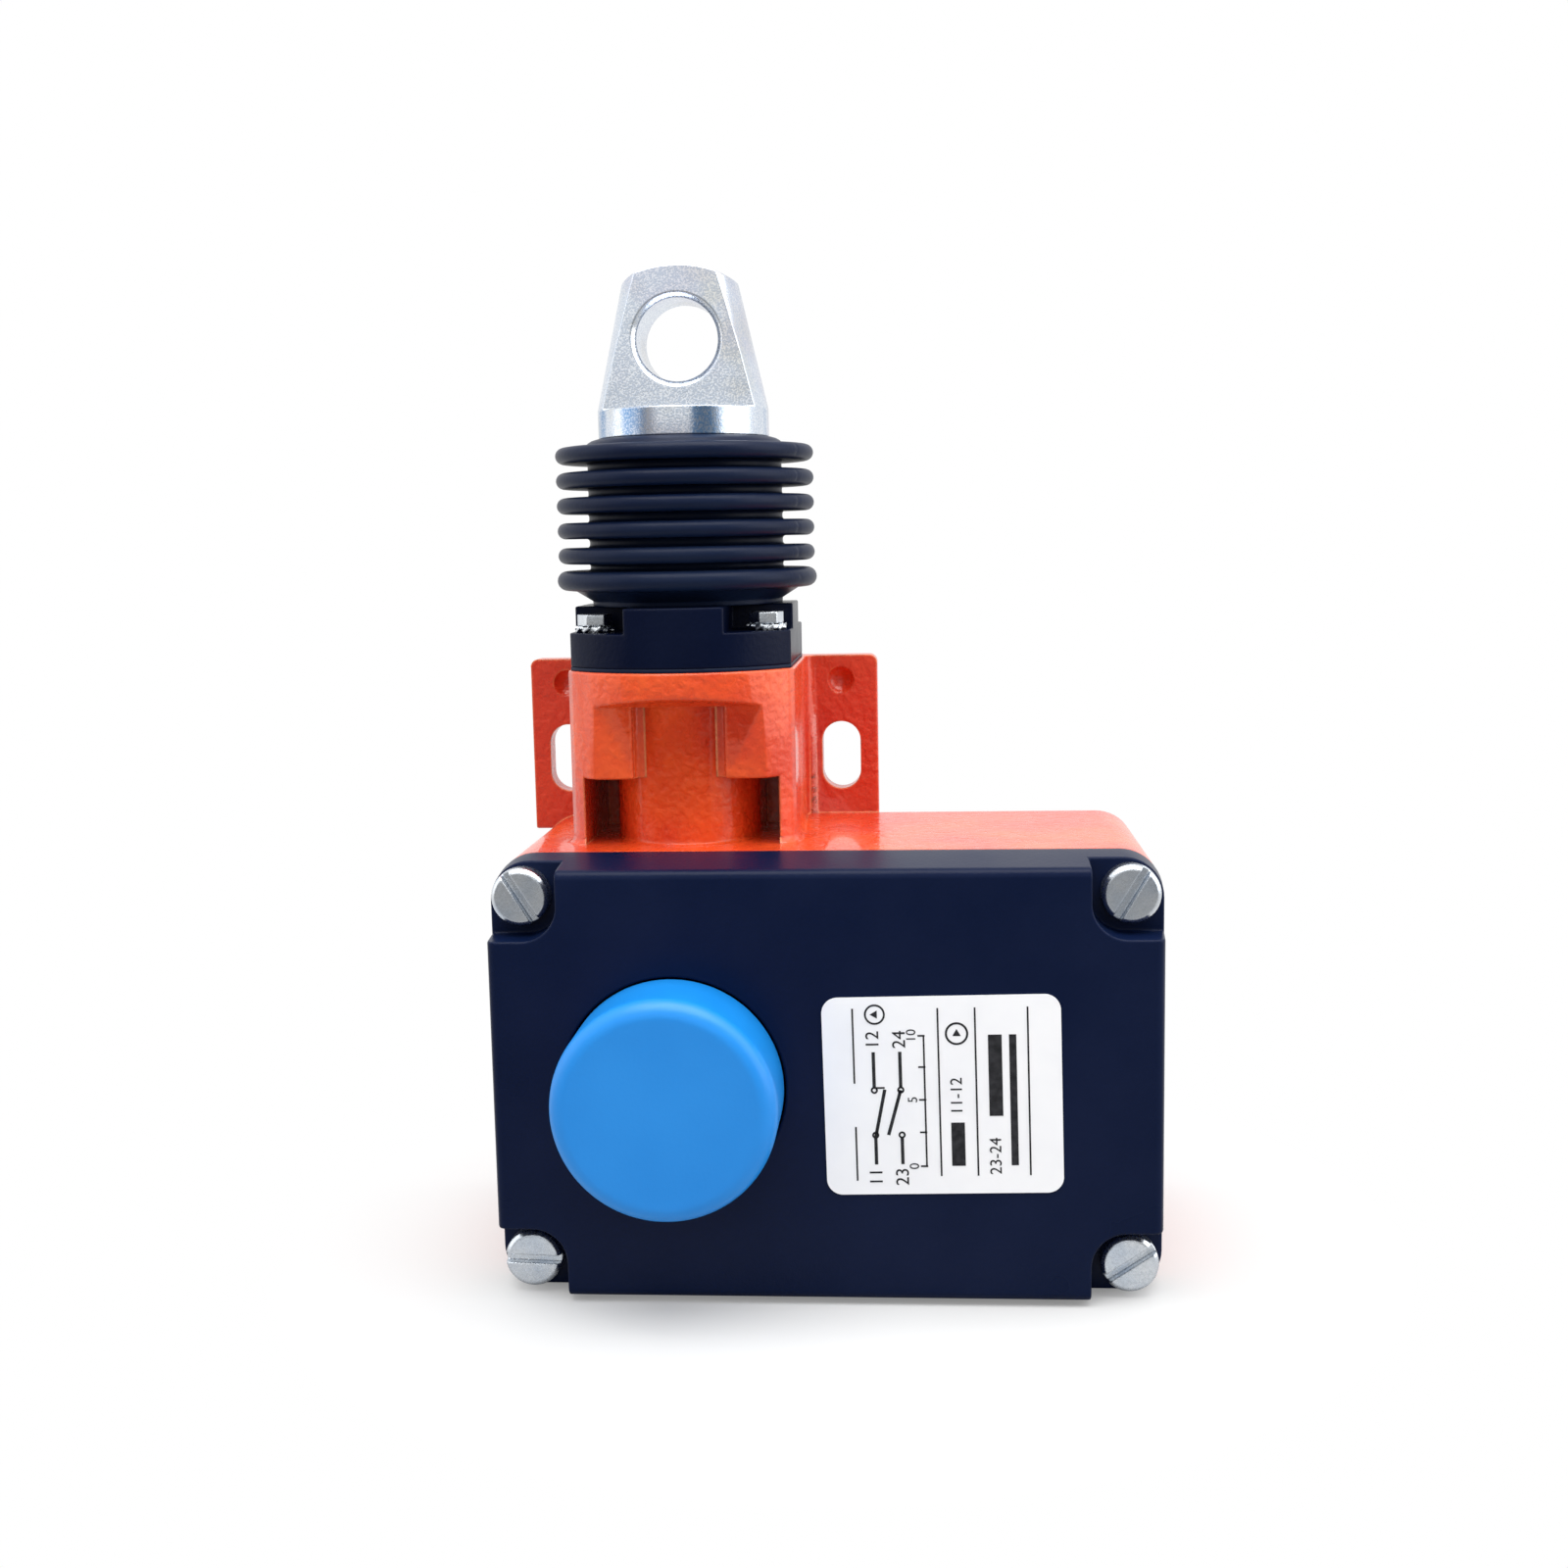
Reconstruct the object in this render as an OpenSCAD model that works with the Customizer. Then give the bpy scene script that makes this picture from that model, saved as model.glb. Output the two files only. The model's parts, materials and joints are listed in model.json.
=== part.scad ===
// Rope pull switch: a die-cast housing with a plastic cover, a sprung pull rod
// under a rubber bellows, a latch released by a push button, and a contact block.
// X = 0 and Y = -axis_d is the pull axis, Y = 0 is the mounting plane,
// Z = 0 is the height of the mounting slots, and the front faces -Y.

/* [Housing box] */
// Width of the box
box_w = 86; // [84:1:100]
// Height of the box
box_h = 57; // [56:1:70]
// Depth of the cast box, without its cover
box_d = 36; // [36:0.5:44]
// How far the box is set off to the right of the pull axis
box_shift = 19; // [17:0.5:21]
// Wall of the casting
wall = 3.5; // [3:0.1:3.8]
// Corner radius of the box, seen from the front
corner_r = 5.5; // [5:0.5:7]
// Rounding of the box's rear edges
rear_r = 3.5; // [2:0.5:4]

/* [Neck and mounting plate] */
// Width of the neck
neck_w = 30; // [29:0.5:32]
// Top of the neck above the mounting slots
neck_top = 14.5; // [13:0.5:18]
// Distance from the mounting slots down to the box
box_drop = 8.5; // [8:0.5:12]
// Radius of the barrel round the main spring
barrel_r = 9.7; // [9.6:0.1:10]
// Radius of the spring bore
bore_r = 8.2; // [8:0.1:8.4]
// Width of the mounting plate
plate_w = 50.6; // [50:0.2:56]
// Thickness of the mounting plate
plate_t = 3.4; // [3:0.1:5]
// Distance between the two mounting slots
slot_pitch = 40; // [39:0.5:42]
// Width of a mounting slot
slot_w = 5.5; // [4.5:0.1:6]
// Length of a mounting slot
slot_l = 9.8; // [8:0.1:11]

/* [Cover] */
// Thickness of the cover
cover_t = 10.2; // [9.5:0.1:12]
// Thickness of the cover under its screw heads
rim_t = 4.7; // [4.4:0.1:5.5]
// Wall of the cover
cover_wall = 2.5; // [2:0.1:2.8]
// Draft of the cover's sides, from rim to front
draft = 0.7; // [0.4:0.1:1.2]
// Width of a corner recess
recess_w = 9.7; // [9:0.1:11]
// Distance from the box's edges to a cover screw
screw_inset = 4.6; // [4.4:0.1:5]
// Diameter of a cover screw's head
head_dia = 7.4; // [6:0.1:7.6]
// Height of a cover screw's head
head_h = 2.6; // [2:0.1:3]

/* [Reset button] */
// Diameter of the button
button_dia = 28; // [26:0.5:30]
// How far the button stands out of the cover
button_proud = 11.3; // [9.5:0.1:12]
// Travel of the button
button_travel = 4; // [3:0.1:4.2]

/* [Pull head] */
// Travel of the pull rod
pull_travel = 10; // [6:0.5:10]
// Radius of the pull rod
rod_r = 4; // [3.6:0.1:4]
// Thickness of the neck flange
flange_t = 4.5; // [4:0.1:6]
// Height of the flange's raised cross
cross_h = 3.3; // [3.2:0.1:4]
// Outer diameter of the bellows
bellows_dia = 34.8; // [34:0.1:35.4]
// Outer diameter of the bellows between its rings
bellows_root_dia = 26.2; // [25.8:0.1:27]
// Number of rings
rings = 6; // [5:1:8]
// Distance between two rings
ring_pitch = 3.32; // [3.2:0.02:3.8]
// Thickness of a ring
ring_t = 2.15; // [2:0.05:2.3]
// Diameter of the eye's round base
eye_dia = 23; // [22:0.5:24]
// Height of the eye above the bellows
eye_h = 22.2; // [21:0.1:26]
// Thickness of the eye across its flats
eye_t = 10.8; // [9:0.1:12]
// Diameter of the eye's hole
eye_hole_dia = 10.8; // [9:0.1:11.2]

/* [Contact block] */
// Width of the contact block
block_w = 30; // [30:0.5:32]
// Height of the contact block
block_h = 42; // [41:0.5:44]
// Stroke of the contact plunger
stroke = 3; // [2.4:0.1:3]
// Radius of the cable entry's thread
entry_r = 9.2; // [8.5:0.1:9.5]

/* [Hidden] */
$fn = 64;

run = 0.05;        // radial clearance of a running fit
gap = 0.3;         // clearance between parts that pass each other
play = 0.6;        // room left at the end of a travel
over = 1;          // how far a cut runs past a face
slice = 0.01;      // thickness of a hull's slices
screw_play = 0.15; // clearance round a screw's shank

// Box and neck
axis_d = box_d / 2;
box_x0 = box_shift - box_w / 2;
box_x1 = box_shift + box_w / 2;
box_z1 = -box_drop;
box_z0 = box_z1 - box_h;
mid_z = (box_z0 + box_z1) / 2;
band_h = 3.1;                       // plain band round the top of the neck
ledge_drop = 1.5;                     // slope of the ledge under that band
column_d = axis_d + 14.2;           // front of the neck's two columns
column_in = 6.1;                    // their inner sides
relief_x = neck_w / 2 - 1.2;
barrel_d = axis_d + 13.2;           // front of the barrel between them
pocket_x = 12.9;                    // outer side of the pockets below them
pocket_h = 8.9;
pocket_d = axis_d - 6;              // back of the pockets
dimple_r = 2;
dimple_h = 1.2;
dimple_ball = (pow(dimple_r, 2) + pow(dimple_h, 2)) / (2 * dimple_h);
dimple_z = neck_top - 3.6;
plate_corner = 1.2;
neck_fillet = 1.5;

// Cover and its screws
rim_d = box_d + rim_t;
front_d = box_d + cover_t;
cover_edge = 1.2;
cover_land = 1;                     // straight land at the cover's rim
recess_r = 4.5;
recess_wall = 2;
screw_xs = [box_x0 + screw_inset, box_x1 - screw_inset];
screw_zs = [box_z0 + screw_inset, box_z1 - screw_inset];
screw_turns = [[-2, 34], [-58, 59]];   // how far each screw slot is turned
cover_screw_r = 2;
pillar_r = cover_screw_r + 2.6;
cover_slot = 1.1;
head_edge = 0.5;
thread_depth = 12;
gasket_in = 0.9;                    // distance from the box's edge to the gasket
gasket_w = 1.6;
gasket_t = 1.4;
cover_in = wall + 0.6;              // inner side of the cover's walls
label_w = 29.6;
label_h = 25.4;
label_t = 0.2;
label_side = 13.35;                 // from the label to the box's right side
label_x = box_x1 - label_side - label_w / 2;
label_z = mid_z - 0.8;
label_corner = 2;
label_turn = 1;                     // the label sits slightly askew

// Reset button
button_r = button_dia / 2;
well_r = button_r + 0.25;
well_floor = 2.2;
well_wall = 2;
skirt_in = 0.4;                     // how far the resting button sits in its well
well_depth = skirt_in + button_travel + play;
well_d = front_d - well_depth;      // front face of the well's floor
button_d1 = front_d + button_proud;
button_edge = 2.4;
button_wall = 2.2;
button_seat = 2;                    // how deep the plunger stops below the button's wall
plunger_r = 4;
guide_d = well_d - well_floor - 2.4;
guide_wall = 3;                     // wall round the bores of plunger and rod
clip_t = 0.8;
clip_w = 2;                         // how far a retaining clip stands out
clip_in = 0.8;                      // depth of its groove
clip_gap = 2.8;
seal_w = 1.6;
seal_t = 1.2;
reset_wire = 1.1;
reset_turns = 4.5;
reset_coil_r = 8.5;

// Pull head
neck_r = axis_d;
gasket_h = 0.5;
flange_z = neck_top + gasket_h;
cross_z = flange_z + flange_t;
cross_top = cross_z + cross_h;
flange_in = 0.35;                   // how far the flange is set in from the neck
flange_screw_x = neck_w / 2 - 3.6;
flange_screw_y = axis_d / 2;
flange_screw_r = 1.25;
flange_screw_l = 7;                 // how far the flange screws reach into the neck
spigot_h = 2.5;
cross_x = 6.5;                      // half widths of the raised cross
cross_y = 5.5;
hex_af = 4;
hex_h = 1.5;
washer_r = 2.7;
washer_h = 0.9;
bush_r = rod_r + 2;
foot_h = 3.4;                       // from the cross to the middle of the first ring
crown_h = 2.15;                     // from the middle of the last ring to the eye
foot_ring_t = ring_t + 0.45;        // the lowest ring is the thickest
skin = 0.65;
bellows_h = foot_h + (rings - 1) * ring_pitch + crown_h;
eye_z = cross_top + bellows_h;
eye_base_h = 3.7;
eye_hole_h = 12.65;
hole_z = eye_z + eye_hole_h;
eye_top = eye_z + eye_h;
eye_r = eye_dia / 2;
eye_taper = 0.224;                  // narrowing per side, per unit of height
eye_crown_r = 16;
eye_chamfer = 0.7;
shank_h = 3.9;
shank_r = bellows_root_dia / 2 - 3.4;

// Pull rod, spring and trip cam
cup_t = 2;
cup_top = box_z1 + 0.5;
cup_r = bore_r - 0.6;
spring_wire = 1.8;
spring_coil_r = bore_r - 2;
rod_top = eye_z + eye_base_h;
spring_turns = 5;
rod_end = box_z0 + wall + play;
cam_top = cup_top - cup_t;
cam_bottom = mid_z - pull_travel - 1.6;
cam_half = rod_r + 0.2;
cam_back = rod_r + 2;               // half width above the ramp, which enters the neck
cam_slant = 2;
cam_x = rod_r + 4;                  // face of the ramp at the height of the nose
cam_slope = stroke / pull_travel;
ramp_top = mid_z + 1.5;
rod_edge = 0.5;
rod_clip_h = 1;
boss_top = cam_bottom - rod_clip_h - gap;   // top of the guide boss under the rod

// Latch
lever_t = 3;
latch_arm = 11;
latch_z = mid_z + latch_arm;
latch_d = axis_d + 11;
latch_pin_r = 1.5;
lever_half = 3.5;
lever_foot = 2;                     // how far the lever reaches below the plunger's tip
pawl_up = 9.5;
pawl_h = 2.6;
notch_play = 0.4;
notch_in = 1;                       // depth of the notch past the rod's surface
hub_r = 3.1;
tip_r = 3;
lever_front = latch_d + lever_t / 2;
cheek_x = lever_half + 2.6;
cheek_t = 1.2;
cheek_low = 4;                      // how far the cheeks reach below the pin
foot_x = 13;
foot_z = latch_z + 4;
foot_r = 3;
cheek_screw_r = 1.25;
cheek_screw_l = 5;
latch_wire = 0.5;

// Contact block
nose_r = 3;
nose_x = cam_x + (nose_r + gap) / cos(atan(cam_slope));
block_x0 = nose_x + 5.6;
block_x1 = block_x0 + block_w;
block_mid = (block_x0 + block_x1) / 2;
block_d0 = wall + 1.5;
block_t = 24;
block_d1 = block_d0 + block_t;
block_wall = 3;
bay_h = 9;                          // height of a terminal bay
chamber_h = block_h - 2 * bay_h;
shelf_d = axis_d + 4;
bay_in = 1.5;                       // wall between the chamber and a terminal bay
bay_wall = 2;
post_w = 6;
term_x = post_w / 2 + 5;
term_z = block_h / 2 - 4;
lid_t = 1.5;
bar = 7;
bar_x0 = block_x0 + block_wall + gap;
strip_t = 0.8;
button_t = 0.6;
contact_r = 1.6;
contact_z = chamber_h / 2 - 3;
bridge_tip = 2;                     // how far a bridge reaches past its contact
nc_x = bar_x0 + 3.3;
no_x = nc_x + 11;
bar_x1 = no_x + 5;
strip_w = 5;
tab_w = 6;
tab_d = 2.5;                        // how far a fixed contact's tab reaches behind the axis
spring_seat = 3.5;
contact_coil_r = 2;
contact_wire = 0.5;
block_screw_z = block_h / 2 - 3.8;
block_screw_r = 1.5;
block_boss = 1.9;                   // wall round the threads of those screws
floor_left = 1.2;                   // casting left behind them
block_head_r = 2.7;
block_head_h = 2;
term_screw_r = 1.75;
term_screw_l = 7;
term_head_r = 2.9;
term_head_h = 2.2;
clamp_w = 6.4;
clamp_h = 5.6;
clamp_t = 1;
slot_narrow = 0.9;                  // width of the slots in the small screws
entry_boss = 10;
entry_wall = 3.6;
earth_w = 7;
earth_head_r = 3.2;
earth_x = -rod_r - guide_wall - earth_w / 2 - 1.5;
earth_z = box_z0 + wall + 11;
earth_d = wall + 9;

// ---- helpers -------------------------------------------------------------

// Extrudes an X-Z outline from depth d0 to depth d1 in front of the mounting plane
module slab(d0, d1) {
    translate([0, -d0, 0]) rotate([90, 0, 0]) linear_extrude(d1 - d0) children();
}

// Extrudes a Y-Z outline from x0 to x1
module across(x0, x1) {
    translate([x0, 0, 0]) rotate([90, 0, 90]) linear_extrude(x1 - x0) children();
}

// Extrudes an X-Y outline from z0 to z1
module tall(z0, z1) {
    translate([0, 0, z0]) linear_extrude(z1 - z0) children();
}

// Cheese head on depth d, with a slot across it
module slotted_head(d, r, h, slot = slot_narrow, turn = 0) {
    difference() {
        slab(d, d + h) circle(r);
        slab(d + h / 2, d + h + over) rotate(turn) square([2 * r + over, slot], center = true);
    }
}

module at_axis() {
    translate([0, -axis_d, 0]) children();
}

module at_screws() {
    for (i = [0, 1], j = [0, 1]) translate([screw_xs[i], screw_zs[j]]) children();
}

module at_flange_screws() {
    for (i = [-1, 1], j = [-1, 1])
        translate([i * flange_screw_x, j * flange_screw_y - axis_d]) children();
}

module at_feet() {
    for (x = [-foot_x, foot_x]) translate([x, foot_z]) children();
}

module at_block_screws() {
    for (j = [-1, 1]) translate([block_mid, mid_z + j * block_screw_z]) children();
}

module at_terminals() {
    for (i = [-1, 1], j = [-1, 1]) translate([block_mid + i * term_x, mid_z + j * term_z]) children();
}

// Rectangle between two corners
module area(x0, y0, x1, y1) {
    translate([x0, y0]) square([x1 - x0, y1 - y0]);
}

// Rectangle with round corners, between two corners
module round_area(x0, y0, x1, y1, r) {
    area(x0 + r, y0, x1 - r, y1);
    area(x0, y0 + r, x1, y1 - r);
    for (x = [x0 + r, x1 - r], y = [y0 + r, y1 - r]) translate([x, y]) circle(r);
}

// Notches of width w in the four corners of the box, round at their inner corner
module corner_notches(w, r) {
    for (i = [0, 1], j = [0, 1]) translate([i ? box_x1 : box_x0, j ? box_z1 : box_z0])
        scale([i ? -1 : 1, j ? -1 : 1]) {
            area(-over, -over, w - r, w);
            area(-over, -over, w, w - r);
            translate([w - r, w - r]) circle(r);
        }
}

// Outline of the box, set in by s
module box_outline(s = 0) {
    r = corner_r - min(s, corner_r - 1);
    round_area(box_x0 + s, box_z0 + s, box_x1 - s, box_z1 - s, r);
}

// Slice of a hull: the round corners of the box outline, set in by s, from depth d0 to d1
module box_slice(d0, d1, s) {
    slab(d0, d1) for (x = [box_x0, box_x1], z = [box_z0, box_z1])
        translate([x + sign(box_shift - x) * corner_r, z + sign(mid_z - z) * corner_r])
            circle(corner_r - s, $fn = 48);
}

// Coil of round wire along +Z from z0 to z1, closed at its ends
module coil(r, wire, turns, z0, z1, steps = 16, sides = 6) {
    n = round(turns * steps);
    lead = [for (i = [0:n]) let (u = i / n, s = 1 - 2 * u)
        (z0 + z1) / 2 - (z1 - z0 - wire) / 2 * sign(s) * pow(abs(s), 0.85)];
    ring_pts = [for (i = [0:n], k = [0:sides - 1])
        let (a = 360 * i / steps, b = 360 * k / sides, q = r + wire / 2 * cos(b))
        [q * cos(a), q * sin(a), lead[i] + wire / 2 * sin(b)]];
    sides_f = [for (i = [0:n - 1], k = [0:sides - 1])
        let (m = (k + 1) % sides)
        [i * sides + k, i * sides + m, (i + 1) * sides + m, (i + 1) * sides + k]];
    start = [for (k = [sides - 1:-1:0]) k];
    end = [for (k = [0:sides - 1]) n * sides + k];
    polyhedron(ring_pts, concat([start], sides_f, [end]), convexity = 10);
}

// ---- housing -------------------------------------------------------------

module box_body() {
    hull() {
        for (a = [15:15:90]) let (d = rear_r * (1 - cos(90 - a)))
            box_slice(d, d + slice, rear_r * (1 - cos(a)));
        box_slice(rear_r, box_d, 0);
    }
}

// Neck seen from above: round in front, straight at the sides
module neck_outline(s = 0) {
    intersection() {
        union() {
            translate([0, -axis_d]) circle(neck_r - s);
            area(-neck_w / 2, -axis_d, neck_w / 2, -s);
        }
        area(-neck_w / 2 + s, -box_d, neck_w / 2 - s, 0);
    }
    corner_y = axis_d + sqrt(pow(neck_r - s, 2) - pow(neck_w / 2 - s, 2));
    area(-neck_w / 2 + s, -corner_y, neck_w / 2 - s, -s);
}

// Hollow fillet in the angle between the neck and the mounting plate
module neck_fillets() {
    for (i = [-1, 1]) scale([i, 1]) difference() {
        area(neck_w / 2 - 0.5, -plate_t - neck_fillet, neck_w / 2 + neck_fillet, -plate_t + 0.5);
        translate([neck_w / 2 + neck_fillet, -plate_t - neck_fillet]) circle(neck_fillet);
    }
}

// What is cut from the front of the neck below its band
module neck_relief() {
    band_z = neck_top - band_h;
    floor_z = box_z1;
    difference() {
        union() {
            // space in front of the two columns, with a sloping ledge above it
            across(-relief_x, relief_x) polygon([
                [-box_d - over, floor_z], [-column_d, floor_z],
                [-column_d, band_z - ledge_drop], [-box_d - over, band_z]]);
            // space between the columns
            across(-column_in, column_in) polygon([
                [-box_d - over, floor_z], [-axis_d, floor_z],
                [-axis_d, band_z - ledge_drop - over], [-column_d, band_z - ledge_drop],
                [-box_d - over, band_z]]);
            // pockets at the foot of the columns
            tall(floor_z, floor_z + pocket_h) area(-pocket_x, -box_d - over, pocket_x, -pocket_d);
        }
        // barrel, round in front and straight at its sides
        tall(floor_z - over, neck_top) {
            translate([0, barrel_r - barrel_d]) circle(barrel_r);
            area(-barrel_r, barrel_r - barrel_d, barrel_r, 0);
        }
    }
}

module plate_outline() {
    half = plate_w / 2;
    difference() {
        union() {
            area(-half, box_z1 - 2, half, neck_top - plate_corner);
            area(-half + plate_corner, neck_top - over - plate_corner, half - plate_corner, neck_top);
            for (i = [-1, 1]) translate([i * (half - plate_corner), neck_top - plate_corner])
                circle(plate_corner);
        }
        for (i = [-1, 1]) translate([i * slot_pitch / 2, 0]) {
            for (j = [-1, 1]) translate([0, j * (slot_l - slot_w) / 2]) circle(slot_w / 2);
            square([slot_w, slot_l - slot_w], center = true);
        }
    }
}

// Room inside the box, clear of its bosses
module box_room() {
    difference() {
        slab(wall, box_d + over) difference() {
            area(box_x0 + wall, box_z0 + wall, box_x1 - wall, box_z1 - wall);
            at_screws() circle(pillar_r);
            // corners outside the pillars stay solid
            for (i = [0, 1], j = [0, 1]) translate([screw_xs[i], screw_zs[j]])
                area(i ? 0 : -screw_inset, j ? 0 : -screw_inset, i ? screw_inset : 0, j ? screw_inset : 0);
        }
        // guide boss under the rod
        at_axis() tall(box_z0, boss_top) circle(rod_r + guide_wall);
        // bosses of the latch cheeks, the contact block and the earth screw
        slab(0, lever_front) at_feet() circle(foot_r);
        slab(0, block_d0) at_block_screws() circle(block_screw_r + block_boss);
        slab(0, earth_d) translate([earth_x, earth_z]) circle(earth_w / 2 + 0.5);
        // boss of the cable entry
        across(box_x1 - entry_boss, box_x1) translate([-axis_d, mid_z]) circle(entry_r + entry_wall);
    }
}

module housing() {
    color("orangered") difference() {
        union() {
            box_body();
            difference() {
                tall(box_z1 - 1, neck_top) neck_outline();
                neck_relief();
            }
            tall(box_z1 - 1, neck_top) neck_fillets();
            slab(0, plate_t) plate_outline();
        }
        box_room();
        // bore of the neck and guide bore of the rod
        at_axis() tall(box_z1 - wall - over, neck_top + over) circle(bore_r);
        at_axis() tall(rod_end - gap, boss_top + over) circle(rod_r + run);
        // threads
        slab(box_d - thread_depth, box_d + over) at_screws() circle(cover_screw_r);
        tall(neck_top - flange_screw_l - over, neck_top + over) at_flange_screws()
            circle(flange_screw_r);
        slab(latch_d - cheek_screw_l - over, box_d) at_feet() circle(cheek_screw_r);
        slab(floor_left, box_d) at_block_screws() circle(block_screw_r);
        slab(wall, box_d) translate([earth_x, earth_z]) circle(term_screw_r);
        across(box_x1 - entry_boss - over, box_x1 + over) translate([-axis_d, mid_z]) circle(entry_r);
        // dimples above the slots
        for (i = [-1, 1]) translate([i * slot_pitch / 2, -plate_t - dimple_ball + dimple_h, dimple_z])
            sphere(dimple_ball);
    }
}

// ---- cover ---------------------------------------------------------------

module cover_shell() {
    hull() {
        box_slice(box_d, box_d + cover_land, 0);
        for (a = [0:30:90]) let (d = front_d - cover_edge * (1 - sin(a)))
            box_slice(d - slice, d, draft + cover_edge * (1 - cos(a)));
    }
}

module cover() {
    color([0.08, 0.09, 0.13]) difference() {
        union() {
            difference() {
                cover_shell();
                slab(rim_d, front_d + over) corner_notches(recess_w, recess_r);
                // hollow behind the front, clear of the screw corners
                slab(box_d - over, front_d - cover_wall) difference() {
                    area(box_x0 + cover_in, box_z0 + cover_in, box_x1 - cover_in, box_z1 - cover_in);
                    corner_notches(recess_w + recess_wall, recess_r);
                }
            }
            // well of the reset button and the guide of its plunger
            slab(well_d - well_floor, front_d - cover_wall / 2)
                translate([0, mid_z]) circle(well_r + well_wall);
            slab(guide_d, well_d) translate([0, mid_z]) circle(plunger_r + guide_wall);
        }
        slab(well_d, front_d + over) translate([0, mid_z]) circle(well_r);
        slab(guide_d - over, well_d + over) translate([0, mid_z]) circle(plunger_r + run);
        // seat of the plunger's seal
        slab(well_d - seal_t, well_d + over) translate([0, mid_z]) circle(plunger_r + seal_w);
        // screw holes
        slab(box_d - over, rim_d + over) at_screws() circle(cover_screw_r + screw_play);
        slab(box_d - over, box_d + gasket_t) gasket_path();
    }
}

// Cord seal on the rim, which passes inside the screws
module gasket_path() {
    r = cover_screw_r + 0.8;
    difference() {
        box_outline(gasket_in);
        corner_notches(screw_inset + r, r);
        difference() {
            box_outline(gasket_in + gasket_w);
            corner_notches(screw_inset + r + gasket_w, r + gasket_w);
        }
    }
}

module cover_gasket() {
    color("black") slab(box_d, box_d + gasket_t) gasket_path();
}

module cover_screws() {
    color("lightsteelblue") for (i = [0, 1], j = [0, 1])
        translate([screw_xs[i], 0, screw_zs[j]]) difference() {
            union() {
                slab(box_d - thread_depth + over, rim_d) circle(cover_screw_r);
                translate([0, -rim_d, 0]) rotate([90, 0, 0]) rotate_extrude() polygon([
                    [0, 0], [head_dia / 2, 0], [head_dia / 2, head_h - head_edge],
                    [head_dia / 2 - head_edge, head_h], [0, head_h]]);
            }
            slab(rim_d + head_h / 2, rim_d + head_h + over) rotate(screw_turns[j][i])
                square([head_dia + over, cover_slot], center = true);
        }
}

module rating_label() {
    color("white") slab(front_d, front_d + label_t) translate([label_x, label_z]) rotate(label_turn)
        round_area(-label_w / 2, -label_h / 2, label_w / 2, label_h / 2, label_corner);
}

// ---- reset button --------------------------------------------------------

module reset_button() {
    base = front_d - skirt_in;
    hollow = button_d1 - button_wall - base;
    color("dodgerblue") translate([0, -base, mid_z]) rotate([90, 0, 0]) difference() {
        rotate_extrude() {
            difference() {
                union() {
                    area(0, 0, button_r, button_d1 - base - button_edge);
                    area(0, 0, button_r - button_edge, button_d1 - base);
                    translate([button_r - button_edge, button_d1 - base - button_edge])
                        circle(button_edge);
                }
                area(plunger_r + guide_wall - 1, -over, button_r - button_wall, hollow);
                translate([-button_r, -over]) square([button_r, button_d1]);
            }
        }
        translate([0, 0, -over]) cylinder(r = plunger_r, h = hollow - button_seat + over);
    }
}

module reset_plunger() {
    tip_d = lever_front + gap + tip_r;
    clip_d = guide_d - gap;
    color("silver") translate([0, 0, mid_z]) difference() {
        union() {
            slab(tip_d, button_d1 - button_wall - button_seat) circle(plunger_r);
            translate([0, -tip_d, 0]) sphere(r = tip_r);
        }
        // groove of the retaining clip
        slab(clip_d - clip_t, clip_d) difference() {
            circle(plunger_r + over);
            circle(plunger_r - clip_in);
        }
    }
}

// Retaining clip seen along its shaft, open at the bottom
module clip_outline(r) {
    difference() {
        circle(r + clip_w);
        circle(r - clip_in);
        area(-clip_gap / 2, -r - clip_w - over, clip_gap / 2, 0);
    }
}

module plunger_clip() {
    clip_d = guide_d - gap;
    color("dimgray") translate([0, 0, mid_z]) slab(clip_d - clip_t, clip_d) clip_outline(plunger_r);
}

module plunger_seal() {
    color("black") translate([0, 0, mid_z]) slab(well_d - seal_t, well_d) difference() {
        circle(plunger_r + seal_w);
        circle(plunger_r + 0.1);
    }
}

module reset_spring() {
    color("silver") translate([0, -well_d, mid_z]) rotate([90, 0, 0])
        coil(reset_coil_r, reset_wire, reset_turns, 0, button_d1 - button_wall - well_d);
}

// ---- pull head -----------------------------------------------------------

// Turned cone with two milled flats, a crowned top and a chamfered eye
module pull_eye() {
    foot = eye_z - shank_h;
    color("lightsteelblue") difference() {
        intersection() {
            at_axis() rotate_extrude() polygon([
                [0, foot], [shank_r, foot], [shank_r, eye_z], [eye_r, eye_z],
                [eye_r, eye_z + eye_base_h],
                [eye_r - eye_taper * (eye_h - eye_base_h), eye_top], [0, eye_top]]);
            // flats above the round base
            at_axis() union() {
                tall(foot - over, eye_z + eye_base_h) circle(eye_r + over);
                tall(foot, eye_top + over) area(-eye_r - over, -eye_t / 2, eye_r + over, eye_t / 2);
            }
            // crowned top
            at_axis() translate([0, 0, eye_top - eye_crown_r]) union() {
                rotate([90, 0, 0]) cylinder(r = eye_crown_r, h = 4 * eye_r, center = true);
                tall(-eye_h - eye_crown_r, 0) square(4 * eye_r, center = true);
            }
        }
        translate([0, 0, hole_z]) slab(0, box_d + over) circle(eye_hole_dia / 2);
        for (i = [-1, 1]) translate([0, -axis_d + i * eye_t / 2, hole_z]) rotate([-i * 90, 0, 0])
            translate([0, 0, -eye_chamfer]) cylinder(r1 = eye_hole_dia / 2,
                r2 = eye_hole_dia / 2 + 2 * eye_chamfer, h = 2 * eye_chamfer);
        at_axis() tall(foot - over, rod_top) circle(rod_r);
    }
}

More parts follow.
